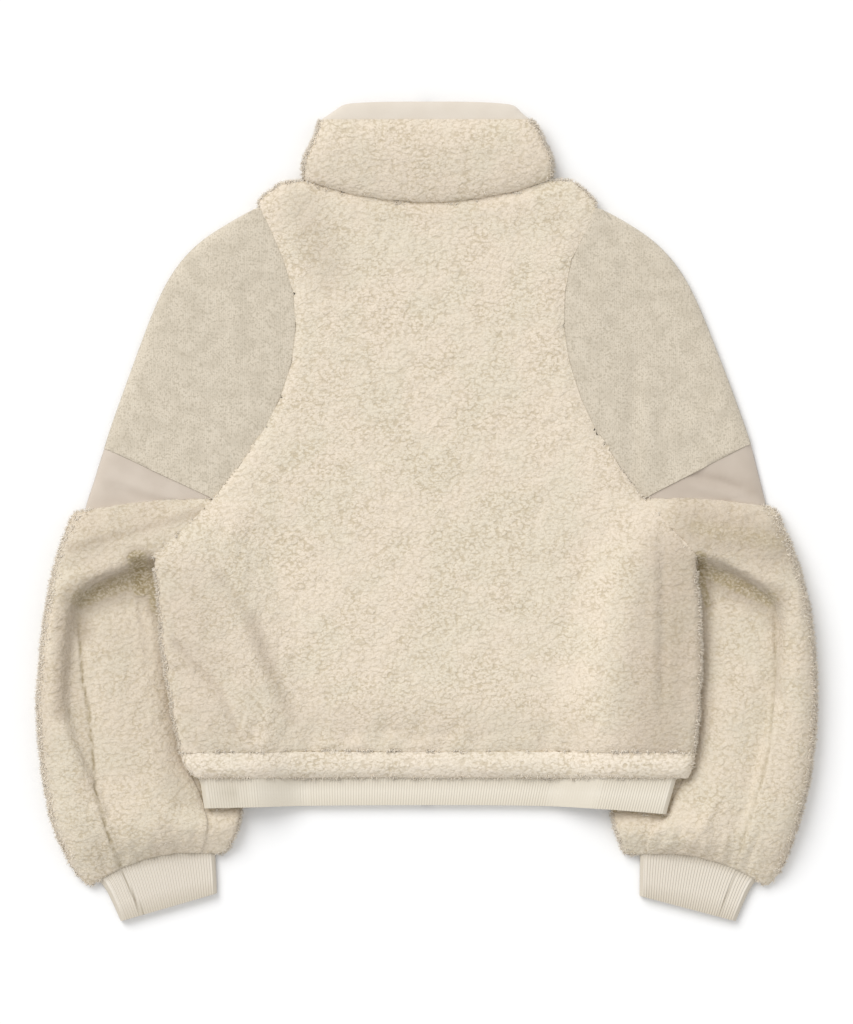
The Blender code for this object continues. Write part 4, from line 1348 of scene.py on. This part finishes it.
# The hem's ribbing: its crests a little darker than the cuffs', and lighter painted shade in its furrows
HEM_RIB = RibFinish(crest=(0.80, 0.745, 0.645, 1.0), furrow_shade=(0.62, 0.56, 0.455, 1.0))
FACING_CLOTH = WovenFinish(face=(0.675, 0.61, 0.525, 1.0), shade=(0.62, 0.55, 0.46, 1.0))


@dataclass
class Jacket:
    """The whole jacket, piece by piece."""

    pieces: list[bpy.types.Object] = field(default_factory=list)

    def body(self) -> list[Cloth]:
        """Sets out the back and the two fronts.

        Returns:
            The three pieces.
        """
        return [
            Panel("back", "back_panel", grain_mm=2.5, flat=(0.546, 0.571), area=0.234,
                  rests_on=("left_front", "right_front"), folds=BODY_FOLDS, seams=BACK_SEAMS,
                  shades=BODY_SHADES, loose_curls=5200),
            Panel("left_front", "front_left", flat=(0.268, 0.571), area=0.112, **FRONT_CLOTH),
            Panel("right_front", "front_right", flat=(0.269, 0.571), area=0.1155, **FRONT_CLOTH),
        ]  # fmt: skip

    def sleeves(self) -> list[Cloth]:
        """Sets out each sleeve's four pieces, from the armhole to the hand.

        Returns:
            The eight pieces.
        """
        pieces: list[Cloth] = []
        for side in Side:
            word = side.value
            pieces += [
                Cloth(f"{word}_shoulder", f"shoulder_{word}", flat=(0.38, 0.29), area=0.0705,
                      slot="heather_knit", finish=KnitFinish(), folds=SHOULDER_FOLDS[side]),
                Cloth(f"{word}_elbow", f"elbow_{word}", flat=(0.24, 0.06), area=0.0082,
                      folds=ELBOW_FOLDS[side], shades=ELBOW_SHADES[side]),
                Fleece(f"{word}_sleeve", f"sleeve_{word}", flat=(0.41, 0.38), area=0.1325,
                       folds=SLEEVE_FOLDS[side], seams=SLEEVE_SEAMS[side], shades=SLEEVE_SHADES[side],
                       finish=SLEEVE_FLEECE_IN_PAINTED_SHADE, grain_mm=2.4, passes=2, loose_curls=4400, curls_outermost=True),
                Rib(f"{word}_cuff", f"cuff_{word}", flat=(0.23, 0.055), area=0.0122, seams=CUFF_SEAMS[side]),
            ]  # fmt: skip
        return pieces

    def edges(self) -> list[Cloth]:
        """Sets out the collar with its facing, and the hem with its rib.

        Returns:
            The four pieces.
        """
        return [
            Fleece("stand_collar", "collar", flat=(0.5, 0.11), area=0.047, loose_curls=1900,
                   shades=COLLAR_SHADES),
            Cloth("neck_facing", "collar_facing", flat=(0.46, 0.065), area=0.0268, finish=FACING_CLOTH),
            Fleece("hem", "hem_band", flat=(1.02, 0.04), area=0.0324, sheltered=False, loose_curls=900,
                   finish=HEM_FLEECE_IN_PAINTED_LIGHT),
            Rib("hem_ribbing", "hem_rib", flat=(0.95, 0.036), area=0.0333, finish=HEM_RIB, shades=RIB_SHADES),
        ]  # fmt: skip

    def zip_pieces(self) -> None:
        """Dresses the zip and its slider, which lie under the jacket."""
        tape, metal = WovenFinish().material("zip_tape"), MetalFinish().material("zip_metal")
        for node, material in (("zip_chain", tape), ("zip_slider", metal)):
            frame["nodes"][node].data.materials.clear()
            frame["nodes"][node].data.materials.append(material)
            LOG.info("%s: dressed", node)

    def build(self) -> None:
        """Builds every piece in order."""
        for cloth in [*self.body(), *self.sleeves(), *self.edges()]:
            self.pieces.append(cloth.build())
        self.zip_pieces()
        LOG.info("jacket: %d pieces of cloth", len(self.pieces))


@dataclass
class Studio:
    """The floor, the soft light from the upper left and the camera straight above."""

    lens: float = 240.0
    sensor: float = 36.0
    view_height: float = 1.024
    aim: tuple[float, float, float] = (-0.0005, 0.0, 0.02)
    light_from: tuple[float, float, float] = (-1.6, 2.0, 2.5)
    softness: float = 40.0  # the angle that the light fills, in degrees
    strength: float = 1.75
    room_light: float = 0.73
    floor_size: float = 6.0

    def floor(self) -> None:
        """Lays a broad pale floor under the jacket."""
        bm = bmesh.new()
        bmesh.ops.create_grid(bm, x_segments=1, y_segments=1, size=self.floor_size)
        mesh = bpy.data.meshes.new("floor")
        bm.to_mesh(mesh)
        bm.free()
        floor = bpy.data.objects.new("floor", mesh)
        bpy.context.scene.collection.objects.link(floor)
        mesh.materials.append(FloorFinish().material("floor"))

    def light(self) -> None:
        """Adds the soft light from the upper left and the even light of a white room."""
        data = bpy.data.lights.new("key", "SUN")
        data.angle = math.radians(self.softness)
        data.energy = self.strength
        lamp = bpy.data.objects.new("key", data)
        lamp.location = self.light_from
        lamp.rotation_euler = (-Vector(self.light_from)).to_track_quat("-Z", "Y").to_euler()
        bpy.context.scene.collection.objects.link(lamp)
        world = bpy.data.worlds.new("room")
        world.use_nodes = True
        room = world.node_tree.nodes["Background"].inputs
        room["Color"].default_value = (1.0, 1.0, 1.0, 1.0)
        room["Strength"].default_value = self.room_light
        bpy.context.scene.world = world
        bpy.context.scene.view_settings.view_transform = "Standard"

    def camera(self) -> None:
        """Sets the camera straight above, its top towards the collar."""
        data = bpy.data.cameras.new("above")
        data.lens = self.lens
        data.sensor_width = self.sensor
        data.clip_end = 50.0
        camera = bpy.data.objects.new("above", data)
        distance = self.view_height * self.lens / self.sensor
        camera.location = Vector(self.aim) + Vector((0.0, 0.0, distance))
        bpy.context.scene.collection.objects.link(camera)
        bpy.context.scene.camera = camera

    def build(self) -> None:
        """Sets up the floor, the lights and the camera."""
        self.floor()
        self.light()
        self.camera()


def main() -> None:
    """Builds the studio and the jacket."""
    logging.basicConfig(level=logging.INFO, format="%(name)s: %(message)s")
    noise.seed_set(7)
    Studio().build()
    Jacket().build()


if __name__ == "__main__":
    main()
